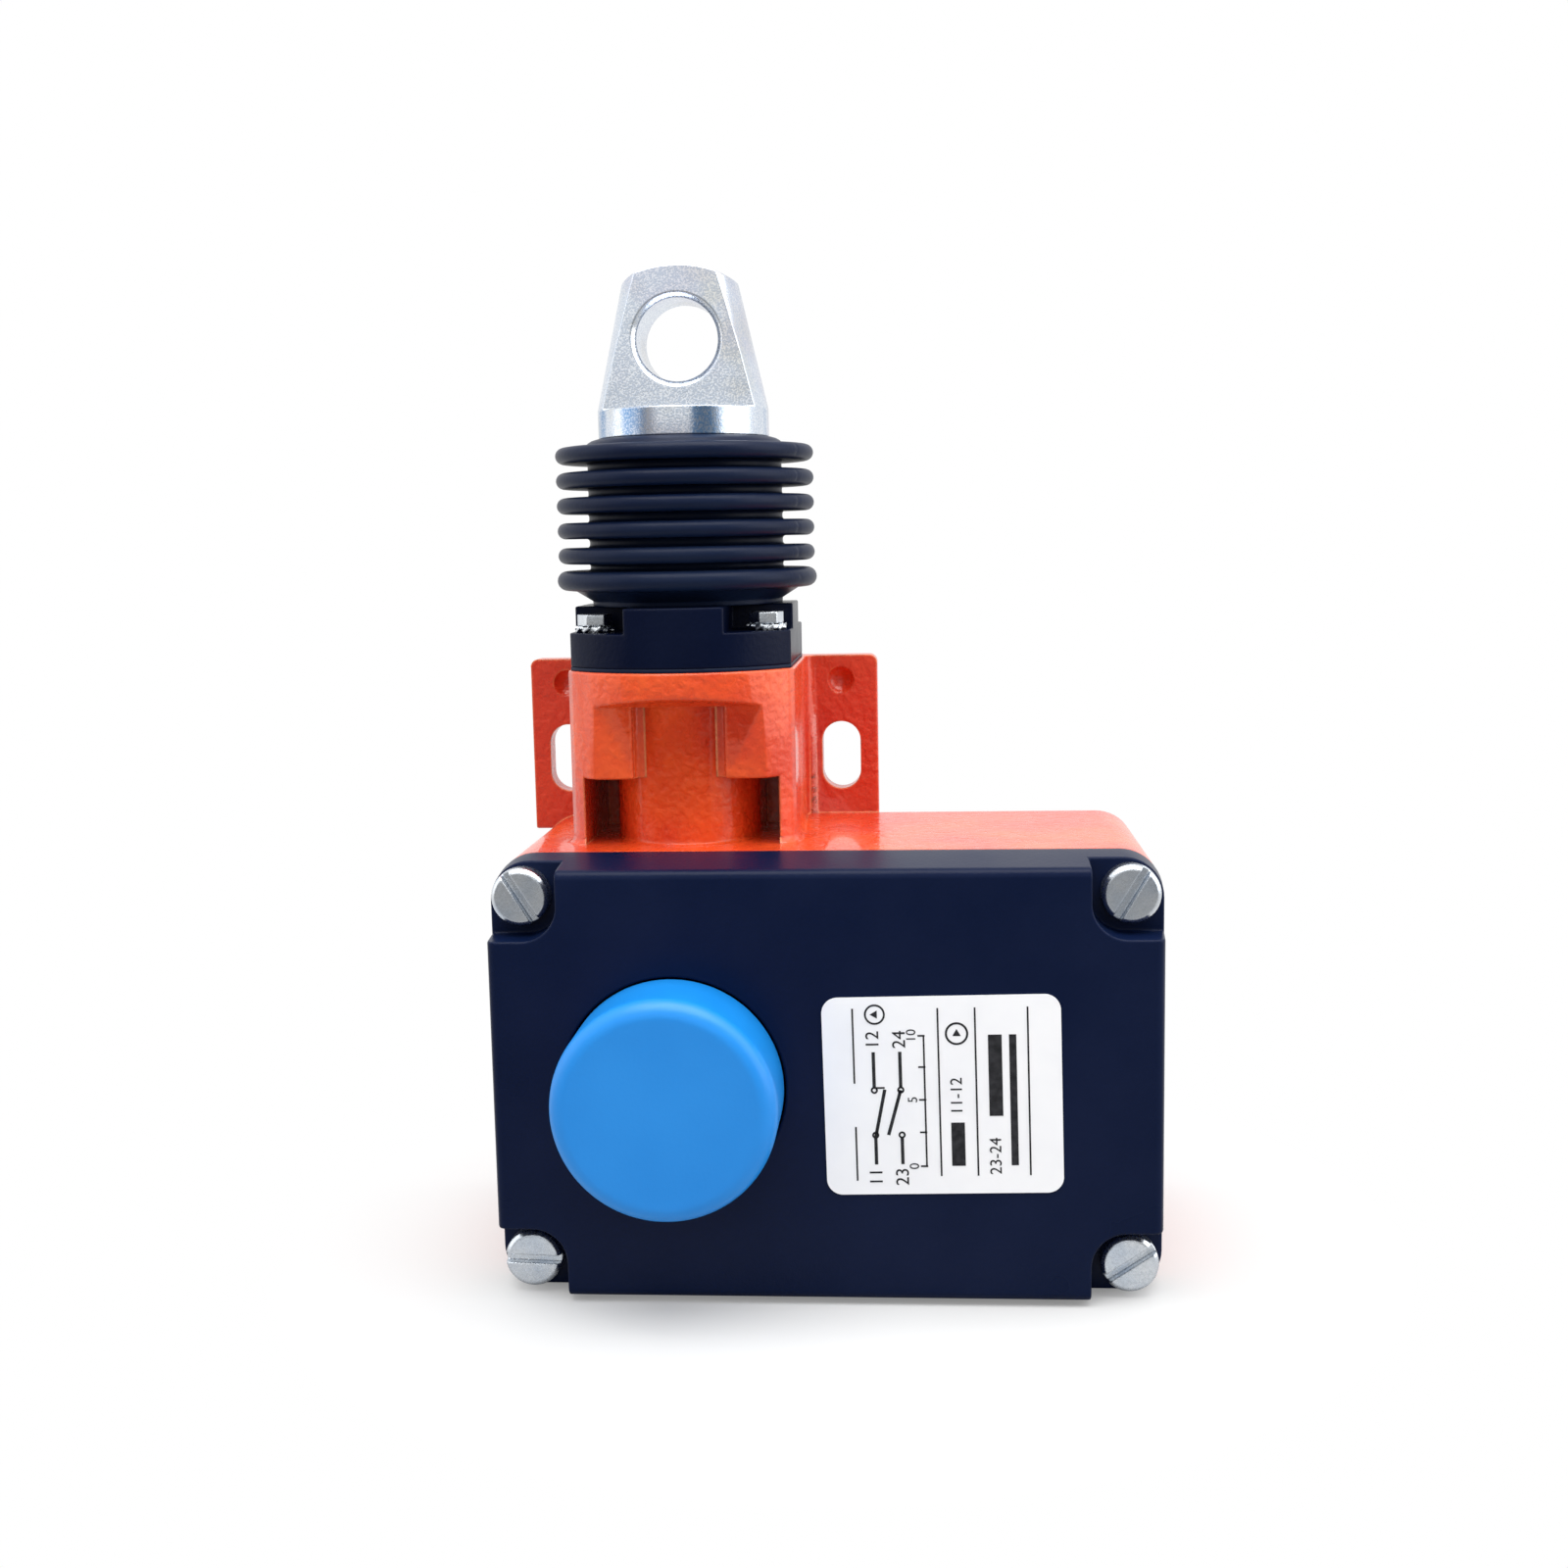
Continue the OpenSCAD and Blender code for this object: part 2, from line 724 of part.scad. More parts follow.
// Half section of the bellows: rings and webs, less the room inside them
module bellows_section() {
    root_r = bellows_root_dia / 2;
    rim = bellows_dia / 2 - ring_t / 2;
    lip = ring_t * 0.64;
    difference() {
        union() {
            area(shank_r, cross_top, root_r, eye_z - lip);
            area(shank_r, cross_top, root_r - lip, eye_z);
            translate([root_r - lip, eye_z - lip]) circle(lip);
            for (i = [0:rings - 1]) translate([0, cross_top + foot_h + i * ring_pitch]) {
                thick = i == 0 ? foot_ring_t : ring_t;
                area(shank_r, -thick / 2, rim, thick / 2);
                translate([rim, 0]) circle(thick / 2);
            }
        }
        area(0, cross_top + foot_h - ring_t / 2 + skin, root_r - 1.7 * skin,
            eye_z - shank_h - ring_t / 2 + skin);
        for (i = [0:rings - 2]) translate([0, cross_top + foot_h + i * ring_pitch]) {
            area(0, -ring_t / 2 + skin, rim, ring_t / 2 - skin);
            translate([rim, 0]) circle(ring_t / 2 - skin);
        }
    }
}

module bellows() {
    color([0.1, 0.11, 0.13]) at_axis() rotate_extrude() bellows_section();
}

// Flange as the neck's outline, ending behind the pull axis
module flange_outline() {
    intersection() {
        neck_outline(flange_in);
        area(-neck_w, -box_d, neck_w, -axis_d + flange_screw_y + washer_r + 0.6);
    }
}

module neck_flange() {
    color([0.08, 0.09, 0.13]) difference() {
        union() {
            tall(flange_z, cross_z) flange_outline();
            // raised cross between the screws
            tall(flange_z, cross_top) intersection() {
                flange_outline();
                union() {
                    area(-cross_x, -box_d, cross_x, 0);
                    area(-neck_w, -axis_d - cross_y, neck_w, -axis_d + cross_y);
                }
            }
            // spigot that centres the flange in the neck
            at_axis() tall(flange_z - spigot_h, cross_z) circle(bore_r - 2 * run);
        }
        at_axis() tall(flange_z - spigot_h - over, cross_top + over) circle(bush_r);
        tall(flange_z - over, cross_top) at_flange_screws() circle(flange_screw_r + screw_play);
    }
}

module flange_gasket() {
    color("black") tall(neck_top, flange_z) difference() {
        flange_outline();
        translate([0, -axis_d]) circle(bore_r);
        at_flange_screws() circle(flange_screw_r + screw_play);
    }
}

module flange_screws() {
    top = cross_z + washer_h;
    color("silver") at_flange_screws() {
        tall(neck_top - flange_screw_l, top) circle(flange_screw_r);
        tall(top, top + hex_h) rotate(12) circle(hex_af / 2 / cos(30), $fn = 6);
    }
}

// Lock washers with slanted teeth round their edge
module tooth_washers() {
    teeth = 10;
    color("silver") at_flange_screws() translate([0, 0, cross_z]) difference() {
        union() {
            tall(washer_h * 0.2, washer_h * 0.8) circle(washer_r * 0.78);
            for (i = [0:teeth - 1]) rotate(i * 360 / teeth)
                translate([washer_r * 0.67, 0, washer_h / 2]) rotate([35, 0, 0])
                    cube([washer_r * 0.6, washer_r * 0.37, washer_h * 0.4], center = true);
        }
        tall(-over, washer_h + over) circle(flange_screw_r);
    }
}

module guide_bush() {
    color("goldenrod") at_axis() tall(flange_z - spigot_h, cross_top) difference() {
        circle(bush_r);
        circle(rod_r + run);
    }
}

module pull_rod() {
    color("silver") at_axis() difference() {
        union() {
            tall(rod_end + rod_edge, rod_top) circle(rod_r);
            tall(rod_end, rod_end + rod_edge) circle(rod_r - rod_edge);
        }
        tall(cam_bottom - rod_clip_h, cam_bottom) difference() {
            circle(rod_r + over);
            circle(rod_r - clip_in);
        }
    }
}

// Ring that holds the cam up against the spring cup
module rod_clip() {
    color("dimgray") at_axis() tall(cam_bottom - rod_clip_h, cam_bottom) rotate(180) clip_outline(rod_r);
}

module spring_cup() {
    color("silver") at_axis() difference() {
        union() {
            tall(cup_top - cup_t, cup_top) circle(cup_r);
            tall(cup_top, cup_top + cup_t) circle(spring_coil_r - spring_wire / 2 - gap);
        }
        tall(cup_top - cup_t - over, cup_top + cup_t + over) circle(rod_r);
    }
}

module main_spring() {
    color("silver") at_axis()
        coil(spring_coil_r, spring_wire, spring_turns, cup_top, flange_z - spigot_h, 20);
}

// Block on the rod: its ramp moves the contact plunger, its notch takes the pawl
module trip_cam() {
    low_x = cam_x + cam_slope * (mid_z - cam_bottom);
    top_x = cam_x - cam_slope * (ramp_top - mid_z);
    notch_z = latch_z + pawl_up - pull_travel;
    notch_half = pawl_h / 2 + notch_play;
    color("ivory") difference() {
        slab(axis_d - cam_half, axis_d + cam_half) polygon([
            [-cam_back, cam_bottom], [low_x, cam_bottom], [top_x, ramp_top],
            [cam_back, ramp_top + cam_slant], [cam_back, cam_top], [-cam_back, cam_top]]);
        at_axis() tall(cam_bottom - over, cam_top + over) circle(rod_r);
        across(-lever_half - notch_play, lever_half + notch_play)
            area(-axis_d - cam_half - over, notch_z - notch_half,
                -axis_d - rod_r + notch_in, notch_z + notch_half);
    }
}

// ---- latch ---------------------------------------------------------------

module latch_cheeks() {
    back_d = axis_d + cam_half + over;
    front = lever_front;
    color("lightgray") difference() {
        union() {
            for (i = [-1, 1]) {
                across(i > 0 ? cheek_x : -cheek_x - cheek_t, i > 0 ? cheek_x + cheek_t : -cheek_x)
                    area(-front - cheek_t, latch_z - cheek_low, -back_d, foot_z + foot_r);
                slab(front, front + cheek_t) area(i > 0 ? cheek_x : -foot_x - foot_r,
                    foot_z - foot_r, i > 0 ? foot_x + foot_r : -cheek_x, foot_z + foot_r);
            }
        }
        across(-cheek_x - 2 * cheek_t, cheek_x + 2 * cheek_t) translate([-latch_d, latch_z])
            circle(latch_pin_r);
        slab(0, box_d) at_feet() circle(cheek_screw_r + screw_play);
    }
}

module latch_pin() {
    end = cheek_x + cheek_t + gap;
    color("silver") across(-end, end) translate([-latch_d, latch_z]) circle(latch_pin_r);
}

// Rocker: the plunger pushes its lower arm, and its pawl swings out of the cam's notch
module latch_lever() {
    half_t = lever_t / 2;
    tip_z = pawl_up + pawl_h / 2;
    reach = latch_d - axis_d - cam_half - gap;
    color("slategray") across(-lever_half, lever_half) translate([-latch_d, latch_z]) difference() {
        union() {
            circle(hub_r);
            area(-half_t, -latch_arm - lever_foot, half_t, tip_z);
            area(-half_t, tip_z - pawl_h, reach, tip_z);
        }
        circle(latch_pin_r + run);
    }
}

// Torsion spring round the pin, beside the lever
module latch_spring() {
    wire = latch_wire;
    x0 = lever_half + gap;
    coil_r = latch_pin_r + 1.8 * wire;
    color("silver") translate([x0, -latch_d, latch_z]) {
        rotate([0, 90, 0]) rotate([0, 0, 90]) coil(coil_r, wire, 3.5, 0, cheek_x - x0 - run, 12);
        across(0, wire) area(-coil_r - wire / 2, 0, -coil_r + wire / 2, tip_r * 2);
    }
}

module cheek_screws() {
    front = lever_front + cheek_t;
    color("silver") for (x = [-foot_x, foot_x]) translate([x, 0, foot_z]) {
        slab(latch_d - cheek_screw_l, front) circle(cheek_screw_r);
        slotted_head(front, block_head_r, block_head_h);
    }
}

// ---- contact block -------------------------------------------------------

module contact_block() {
    half = block_h / 2;
    inner = chamber_h / 2;
    color([0.16, 0.15, 0.15]) difference() {
        slab(block_d0, block_d1) area(block_x0, mid_z - half, block_x1, mid_z + half);
        // chamber of the moving contacts
        slab(block_d0 + block_wall, block_d1 + over)
            area(block_x0 + block_wall, mid_z - inner, block_x1 - block_wall, mid_z + inner);
        // open terminal bays
        for (i = [-1, 1], j = [-1, 1]) {
            a = block_mid + i * post_w / 2;
            b = block_mid + i * (block_w / 2 - bay_wall);
            z_in = mid_z + j * (inner + bay_in);
            z_out = mid_z + j * (half + over);
            slab(shelf_d, block_d1 + over) area(min(a, b), min(z_in, z_out), max(a, b), max(z_in, z_out));
            slab(shelf_d, shelf_d + strip_t) translate([block_mid + i * term_x, 0])
                area(-tab_w / 2, min(z_in, mid_z), tab_w / 2, max(z_in, mid_z));
        }
        // guide of the plunger, screw holes
        across(block_x0 - over, block_x0 + block_wall + over) translate([-axis_d, mid_z])
            circle(nose_r + run);
        slab(0, block_d1 + over) at_block_screws() circle(block_screw_r + screw_play);
        slab(shelf_d - term_screw_l - over, block_d1) at_terminals() circle(term_screw_r);
    }
}

module block_lid() {
    inner = chamber_h / 2 + bay_in;
    color([0.75, 0.72, 0.62]) slab(block_d1, block_d1 + lid_t) difference() {
        union() {
            area(block_x0, mid_z - inner, block_x1, mid_z + inner);
            area(block_mid - post_w / 2, mid_z - block_h / 2, block_mid + post_w / 2, mid_z + block_h / 2);
        }
        at_block_screws() circle(block_screw_r + screw_play);
    }
}

module block_screws() {
    front = block_d1 + lid_t;
    color("silver") for (j = [-1, 1]) translate([block_mid, 0, mid_z + j * block_screw_z]) {
        slab(floor_left + 2 * gap, front) circle(block_screw_r);
        slotted_head(front, block_head_r, block_head_h, turn = 30);
    }
}

// Round stem with a ball nose, and a square bar that carries the bridges
module contact_plunger() {
    color("ivory") translate([0, -axis_d, mid_z]) difference() {
        union() {
            translate([nose_x, 0, 0]) sphere(r = nose_r);
            across(nose_x, bar_x0 + over) circle(nose_r);
            across(bar_x0, bar_x1) square(bar, center = true);
        }
        for (x = [nc_x, no_x]) translate([x, 0, 0])
            cube([strip_t, strip_w, bar + over], center = true);
        across(bar_x1 - spring_seat, bar_x1 + over) circle(contact_coil_r + contact_wire);
    }
}

module contact_spring() {
    x0 = bar_x1 - spring_seat;
    color("silver") translate([x0, -axis_d, mid_z]) rotate([0, 90, 0])
        coil(contact_coil_r, contact_wire, 5, 0, block_x1 - block_wall - x0, 12);
}

// Brass strips with silver buttons at both ends
module contact_bridges() {
    color("goldenrod") translate([0, -axis_d, mid_z]) for (s = [[nc_x, -1], [no_x, 1]]) {
        translate([s[0], 0, 0])
            cube([strip_t, strip_w, 2 * (contact_z + bridge_tip)], center = true);
        for (j = [-1, 1]) translate([s[0] + s[1] * strip_t / 2, 0, j * contact_z])
            rotate([0, s[1] * 90, 0]) cylinder(r = contact_r, h = button_t);
    }
}

// Four strips from the terminals to the chamber, each with a silver button
module fixed_contacts() {
    inner = chamber_h / 2;
    color("goldenrod") for (j = [-1, 1], i = [-1, 1]) {
        // face of the fixed button, and the side of the bridge that it lies on
        face_x = i < 0 ? nc_x - strip_t / 2 - button_t - run
                       : no_x + strip_t / 2 + button_t + stroke + 2 * run;
        pad_x = block_mid + i * term_x;
        pad_x0 = pad_x - tab_w / 2;
        pad_x1 = pad_x + tab_w / 2;
        z_in = mid_z + j * (contact_z - bridge_tip);
        z_tab = mid_z + j * (contact_z + bridge_tip);
        z_out = mid_z + j * (block_h / 2 - gap);
        tab_x0 = face_x + i * button_t;
        tab_x1 = tab_x0 + i * strip_t;
        slab(shelf_d, shelf_d + strip_t) difference() {
            union() {
                area(pad_x0, min(z_tab, z_out), pad_x1, max(z_tab, z_out));
                area(min(pad_x0, tab_x0), min(z_in, z_tab), max(pad_x1, tab_x0), max(z_in, z_tab));
            }
            translate([pad_x, mid_z + j * term_z]) circle(term_screw_r);
        }
        slab(axis_d - tab_d, shelf_d + strip_t)
            area(min(tab_x0, tab_x1), min(z_in, z_tab), max(tab_x0, tab_x1), max(z_in, z_tab));
        translate([tab_x0, -axis_d, mid_z + j * contact_z]) rotate([0, -i * 90, 0])
            cylinder(r = contact_r, h = button_t);
    }
}

module terminal_clamps() {
    front = shelf_d + strip_t;
    color("silver") slab(front, front + clamp_t) at_terminals() difference() {
        square([clamp_w, clamp_h], center = true);
        circle(term_screw_r);
    }
}

module terminal_screws() {
    front = shelf_d + strip_t + clamp_t;
    color("silver") for (i = [-1, 1], j = [-1, 1])
        translate([block_mid + i * term_x, 0, mid_z + j * term_z]) {
            slab(shelf_d - term_screw_l, front) circle(term_screw_r);
            slotted_head(front, term_head_r, term_head_h);
        }
}

// ---- earth terminal ------------------------------------------------------

module earth_screw() {
    color("goldenrod") translate([earth_x, 0, earth_z]) {
        slab(wall + over, earth_d + clamp_t) circle(term_screw_r);
        slotted_head(earth_d + clamp_t, earth_head_r, term_head_h, turn = 45);
    }
}

module earth_clamp() {
    color("silver") translate([earth_x, 0, earth_z]) slab(earth_d, earth_d + clamp_t) difference() {
        square(earth_w, center = true);
        circle(term_screw_r);
    }
}

housing();
cover();
cover_gasket();
cover_screws();
rating_label();
reset_button();
reset_plunger();
plunger_clip();
plunger_seal();
reset_spring();
pull_eye();
bellows();
neck_flange();
flange_gasket();
flange_screws();
tooth_washers();
guide_bush();
pull_rod();
spring_cup();
main_spring();
trip_cam();
rod_clip();
latch_cheeks();
latch_pin();
latch_lever();
latch_spring();
cheek_screws();
contact_block();
block_lid();
block_screws();
contact_plunger();
contact_spring();
contact_bridges();
fixed_contacts();
terminal_clamps();
terminal_screws();
earth_screw();
earth_clamp();
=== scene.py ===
import json
import math

import bmesh
import bpy
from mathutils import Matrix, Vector

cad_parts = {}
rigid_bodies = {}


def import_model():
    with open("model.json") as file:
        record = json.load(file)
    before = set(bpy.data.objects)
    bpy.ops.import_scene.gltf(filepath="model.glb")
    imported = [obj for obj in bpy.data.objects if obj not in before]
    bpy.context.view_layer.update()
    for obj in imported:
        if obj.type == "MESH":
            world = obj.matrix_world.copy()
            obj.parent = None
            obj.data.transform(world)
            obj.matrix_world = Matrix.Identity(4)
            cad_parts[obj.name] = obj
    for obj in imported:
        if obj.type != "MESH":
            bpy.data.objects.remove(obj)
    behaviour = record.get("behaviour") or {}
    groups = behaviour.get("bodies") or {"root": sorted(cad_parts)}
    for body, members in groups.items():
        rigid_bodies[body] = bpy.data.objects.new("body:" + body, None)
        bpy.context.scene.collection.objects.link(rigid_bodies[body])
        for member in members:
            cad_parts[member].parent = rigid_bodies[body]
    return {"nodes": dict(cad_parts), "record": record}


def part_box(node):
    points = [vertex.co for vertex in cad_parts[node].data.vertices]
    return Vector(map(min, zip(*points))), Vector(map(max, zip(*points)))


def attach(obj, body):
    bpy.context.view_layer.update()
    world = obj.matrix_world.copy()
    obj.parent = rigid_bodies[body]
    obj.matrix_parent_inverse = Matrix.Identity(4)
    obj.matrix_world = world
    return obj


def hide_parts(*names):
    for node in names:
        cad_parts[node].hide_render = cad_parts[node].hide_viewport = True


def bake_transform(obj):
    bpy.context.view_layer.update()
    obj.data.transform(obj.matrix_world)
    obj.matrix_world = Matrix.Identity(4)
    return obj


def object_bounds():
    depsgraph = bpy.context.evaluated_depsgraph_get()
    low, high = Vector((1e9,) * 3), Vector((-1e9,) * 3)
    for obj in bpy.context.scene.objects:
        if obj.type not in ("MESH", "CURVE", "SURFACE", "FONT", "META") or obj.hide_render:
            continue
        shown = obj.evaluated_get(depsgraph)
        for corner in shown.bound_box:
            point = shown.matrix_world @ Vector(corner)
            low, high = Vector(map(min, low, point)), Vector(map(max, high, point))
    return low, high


for thing in list(bpy.data.objects):
    bpy.data.objects.remove(thing)
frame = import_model()
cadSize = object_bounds()
cadNodes = frame["nodes"]
record = frame["record"]
bodyOf = {node: body for body, nodes in record["behaviour"]["bodies"].items() for node in nodes}
slotOf = {part["node"]: part["material_slot"] for part in record["subparts"]}
mm = 0.001
pullY, entryZ = -0.018, -0.037      # the pull axis, and the height of the button and cable entry
print("frame loaded,", len(cadNodes), "nodes")

camera = dict(place=(0.03205, -0.2719, 0.0319), turn=(82.358, 1.129, 4.226), lens=42.75)
bpy.ops.object.camera_add(location=camera["place"],
                          rotation=[math.radians(angle) for angle in camera["turn"]])
cameraObject = bpy.context.object
cameraObject.data.lens = camera["lens"]
cameraObject.data.clip_start = 0.01
bpy.context.scene.camera = cameraObject
bpy.context.scene.view_settings.view_transform = "Standard"

lamps = {
    "topBox": dict(place=(0.04, -0.16, 0.60), size=(0.70, 0.50), power=5.6),
    "leftBox": dict(place=(-0.54, -0.16, 0.18), size=(0.50, 0.80), power=0.9),
    "rightBox": dict(place=(0.56, -0.12, 0.20), size=(0.50, 0.80), power=2.4),
    "frontBox": dict(place=(-0.10, -0.80, 0.35), size=(0.90, 0.60), power=1.3),
}
aim = Vector((0.019, -0.018, -0.005))
for name, lamp in lamps.items():
    way = aim - Vector(lamp["place"])
    bpy.ops.object.light_add(type="AREA", location=lamp["place"],
                             rotation=way.to_track_quat("-Z", "Y").to_euler())
    light = bpy.context.object
    light.name = name
    light.data.shape = "RECTANGLE"
    light.data.size, light.data.size_y = lamp["size"]
    light.data.energy = lamp["power"]


def addNode(tree, kind, settings=None, **sockets):
    node = tree.nodes.new("ShaderNode" + kind)
    for name, value in (settings or {}).items():
        setattr(node, name, value)
    for name, value in sockets.items():
        fill(tree, node.inputs[name.replace("_", " ")], value)
    return node


def fill(tree, socket, value):
    if isinstance(value, bpy.types.NodeSocket):
        tree.links.new(value, socket)
    elif isinstance(value, tuple) and socket.type == "RGBA" and len(value) == 3:
        socket.default_value = (*value, 1)
    else:
        socket.default_value = value


def maths(tree, operation, first, second):
    node = addNode(tree, "Math", dict(operation=operation))
    fill(tree, node.inputs[0], first)
    fill(tree, node.inputs[1], second)
    return node.outputs[0]


def mixColour(tree, factor, first, second):
    node = addNode(tree, "Mix", dict(data_type="RGBA"))
    fill(tree, node.inputs[0], factor)
    fill(tree, node.inputs[6], first)
    fill(tree, node.inputs[7], second)
    return node.outputs[2]


def mixValue(tree, factor, first, second):
    node = addNode(tree, "Mix", dict(data_type="FLOAT"))
    for socket, value in zip(node.inputs[:4], (factor, None, first, second)):
        if value is not None:
            fill(tree, socket, value)
    return node.outputs[0]


def spread(tree, value, low, high, newLow=0.0, newHigh=1.0):
    node = addNode(tree, "MapRange", From_Min=low, From_Max=high, To_Min=newLow, To_Max=newHigh)
    fill(tree, node.inputs["Value"], value)
    return node.outputs[0]


# The room is white behind and beside the switch, and dimmer behind the camera
room = dict(backdrop=1.0, dimSide=0.30, dimFrom=-0.75, dimTo=-0.10)
world = bpy.data.worlds.new("room")
bpy.context.scene.world = world
world.use_nodes = True
tree = world.node_tree
tree.nodes.clear()
rays = addNode(tree, "LightPath")
direction = addNode(tree, "SeparateXYZ", Vector=addNode(tree, "TexCoord").outputs["Generated"])
shine = spread(tree, direction.outputs["Y"], room["dimFrom"], room["dimTo"], room["dimSide"],
               room["backdrop"])
clear = maths(tree, "MAXIMUM", rays.outputs["Is Camera Ray"], rays.outputs["Is Transmission Ray"])
level = mixValue(tree, clear, shine, room["backdrop"])
background = addNode(tree, "Background", Color=(1.0, 1.0, 1.0), Strength=level)
tree.links.new(background.outputs[0], addNode(tree, "OutputWorld").inputs["Surface"])

# The floor is pale paint near the switch, and fades into the white backdrop
floorPlan = dict(size=6.0, fadeFrom=0.042, fadeTo=0.078, colour=(0.46, 0.46, 0.46), lift=0.22,
                 dimFrom=-0.30, dimTo=0.05)
floorZ = cadSize[0].z
bpy.ops.mesh.primitive_plane_add(size=floorPlan["size"], location=(0, 0, floorZ))
floor = bpy.context.object
floor.name = "floor"
floorLook = bpy.data.materials.new("paleFloor")
floorLook.use_nodes = True
tree = floorLook.node_tree
paint = tree.nodes["Principled BSDF"]
paint.inputs["Base Color"].default_value = (*floorPlan["colour"], 1)
paint.inputs["Roughness"].default_value = 0.9
paint.inputs["Specular IOR Level"].default_value = 0.0
paint.inputs["Emission Color"].default_value = (1, 1, 1, 1)
spot = addNode(tree, "TexCoord").outputs["Object"]
distance = addNode(tree, "VectorMath", dict(operation="DISTANCE"))
fill(tree, distance.inputs[0], spot)
fill(tree, distance.inputs[1], (aim.x, aim.y, 0.0))
fade = spread(tree, distance.outputs["Value"], floorPlan["fadeFrom"], floorPlan["fadeTo"])
frontToBack = addNode(tree, "SeparateXYZ", Vector=spot).outputs["Y"]
rays = addNode(tree, "LightPath")
dimmed = spread(tree, frontToBack, floorPlan["dimFrom"], floorPlan["dimTo"], room["dimSide"], 1.0)
strength = mixValue(tree, rays.outputs["Is Glossy Ray"], 1.0, dimmed)
shown = maths(tree, "MAXIMUM", rays.outputs["Is Camera Ray"], rays.outputs["Is Glossy Ray"])
fill(tree, paint.inputs["Emission Strength"],
     maths(tree, "MULTIPLY", rays.outputs["Is Camera Ray"], floorPlan["lift"]))
glow = addNode(tree, "Emission", Color=(1.0, 1.0, 1.0), Strength=strength)
blend = addNode(tree, "MixShader")
tree.links.new(maths(tree, "MULTIPLY", fade, shown), blend.inputs[0])
tree.links.new(paint.outputs[0], blend.inputs[1])
tree.links.new(glow.outputs[0], blend.inputs[2])
tree.links.new(blend.outputs[0], tree.nodes["Material Output"].inputs["Surface"])
floor.data.materials.append(floorLook)
print("camera, lights and floor set")


def newGroup(name, inputs, outputs):
    group = bpy.data.node_groups.new(name, "ShaderNodeTree")
    for socket, kind, value in inputs:
        made = group.interface.new_socket(socket, in_out="INPUT", socket_type="NodeSocket" + kind)
        made.default_value = value
    for socket, kind in outputs:
        group.interface.new_socket(socket, in_out="OUTPUT", socket_type="NodeSocket" + kind)
    return group, group.nodes.new("NodeGroupInput"), group.nodes.new("NodeGroupOutput")


def useGroup(tree, group, **sockets):
    node = tree.nodes.new("ShaderNodeGroup")
    node.node_tree = group
    for name, value in sockets.items():
        fill(tree, node.inputs[name], value)
    return node.outputs


# Soft patches: noise at so many waves per metre, cut between two levels
patches, inside, outside = newGroup(
    "patches",
    [("Scale", "Float", 500.0), ("Detail", "Float", 2.0), ("Low", "Float", 0.35),
     ("High", "Float", 0.65), ("Stretch", "Vector", (1.0, 1.0, 1.0)), ("Warp", "Float", 0.0)],
    [("Mask", "Float")])
stretched = addNode(patches, "VectorMath", dict(operation="MULTIPLY"))
fill(patches, stretched.inputs[0], addNode(patches, "TexCoord").outputs["Object"])
fill(patches, stretched.inputs[1], inside.outputs["Stretch"])
noise = addNode(patches, "TexNoise", Vector=stretched.outputs[0], Scale=inside.outputs["Scale"],
                Detail=inside.outputs["Detail"], Distortion=inside.outputs["Warp"])
cut = addNode(patches, "MapRange", Value=noise.outputs["Fac"], From_Min=inside.outputs["Low"],
              From_Max=inside.outputs["High"])
patches.links.new(cut.outputs[0], outside.inputs["Mask"])

# Edges, convex and concave alike: a mask that the finishes use for painted edge highlights, and the
# normal that softens them
edges, inside, outside = newGroup(
    "edges", [("Radius", "Float", 0.0005), ("Low", "Float", 0.02), ("High", "Float", 0.25)],
    [("Mask", "Float"), ("Soft", "Vector")])
bent = addNode(edges, "Bevel", dict(samples=6), Radius=inside.outputs["Radius"])
likeness = addNode(edges, "VectorMath", dict(operation="DOT_PRODUCT"))
fill(edges, likeness.inputs[0], bent.outputs[0])
fill(edges, likeness.inputs[1], addNode(edges, "NewGeometry").outputs["Normal"])
cut = addNode(edges, "MapRange", Value=maths(edges, "SUBTRACT", 1.0, likeness.outputs["Value"]),
              From_Min=inside.outputs["Low"], From_Max=inside.outputs["High"])
edges.links.new(cut.outputs[0], outside.inputs["Mask"])
edges.links.new(bent.outputs[0], outside.inputs["Soft"])


def newLook(name, **sockets):
    look = bpy.data.materials.new(name)
    look.use_nodes = True
    shader = look.node_tree.nodes["Principled BSDF"]
    for socket, value in sockets.items():
        fill(look.node_tree, shader.inputs[socket.replace("_", " ")], value)
    return look, look.node_tree, shader


def addBump(tree, shader, height, strength, depth, normal=None):
    bump = addNode(tree, "Bump", Strength=strength, Distance=depth)
    fill(tree, bump.inputs["Height"], height)
    if normal:
        fill(tree, bump.inputs["Normal"], normal)
    fill(tree, shader.inputs["Normal"], bump.outputs[0])
    return bump.outputs[0]


looks = {}

# Stoved enamel over a die casting: orange peel and a fine grain, a painted highlight along its edges
# and painted shade toward the mounting plane
enamel = dict(deep=(0.50, 0.022, 0.010), lit=(0.80, 0.095, 0.015), thin=(1.0, 0.38, 0.16),
              peel=1000.0, peelDepth=0.00014, fine=2800.0, fineDepth=0.00002,
              backFrom=(-0.012, -0.003))      # painted shade: darker toward the mounting plane, where the ears sit in shade
look, tree, shader = newLook("enamel", Coat_Weight=0.45, Coat_Roughness=0.06,
                             Specular_IOR_Level=0.35, Specular_Tint=(1.0, 0.84, 0.68))
cloudy = useGroup(tree, patches, Scale=90.0, Low=0.35, High=0.68, Detail=3.0)[0]
mottle = useGroup(tree, patches, Scale=enamel["peel"], Detail=0.6, Low=0.25, High=0.75,
                  Warp=0.3)[0]
crinkled = useGroup(tree, patches, Scale=130.0, Detail=1.0, Low=0.35, High=0.65)[0]
edge = useGroup(tree, edges, Radius=0.0005, Low=0.02, High=0.22)
objectSpot = addNode(tree, "TexCoord").outputs["Object"]
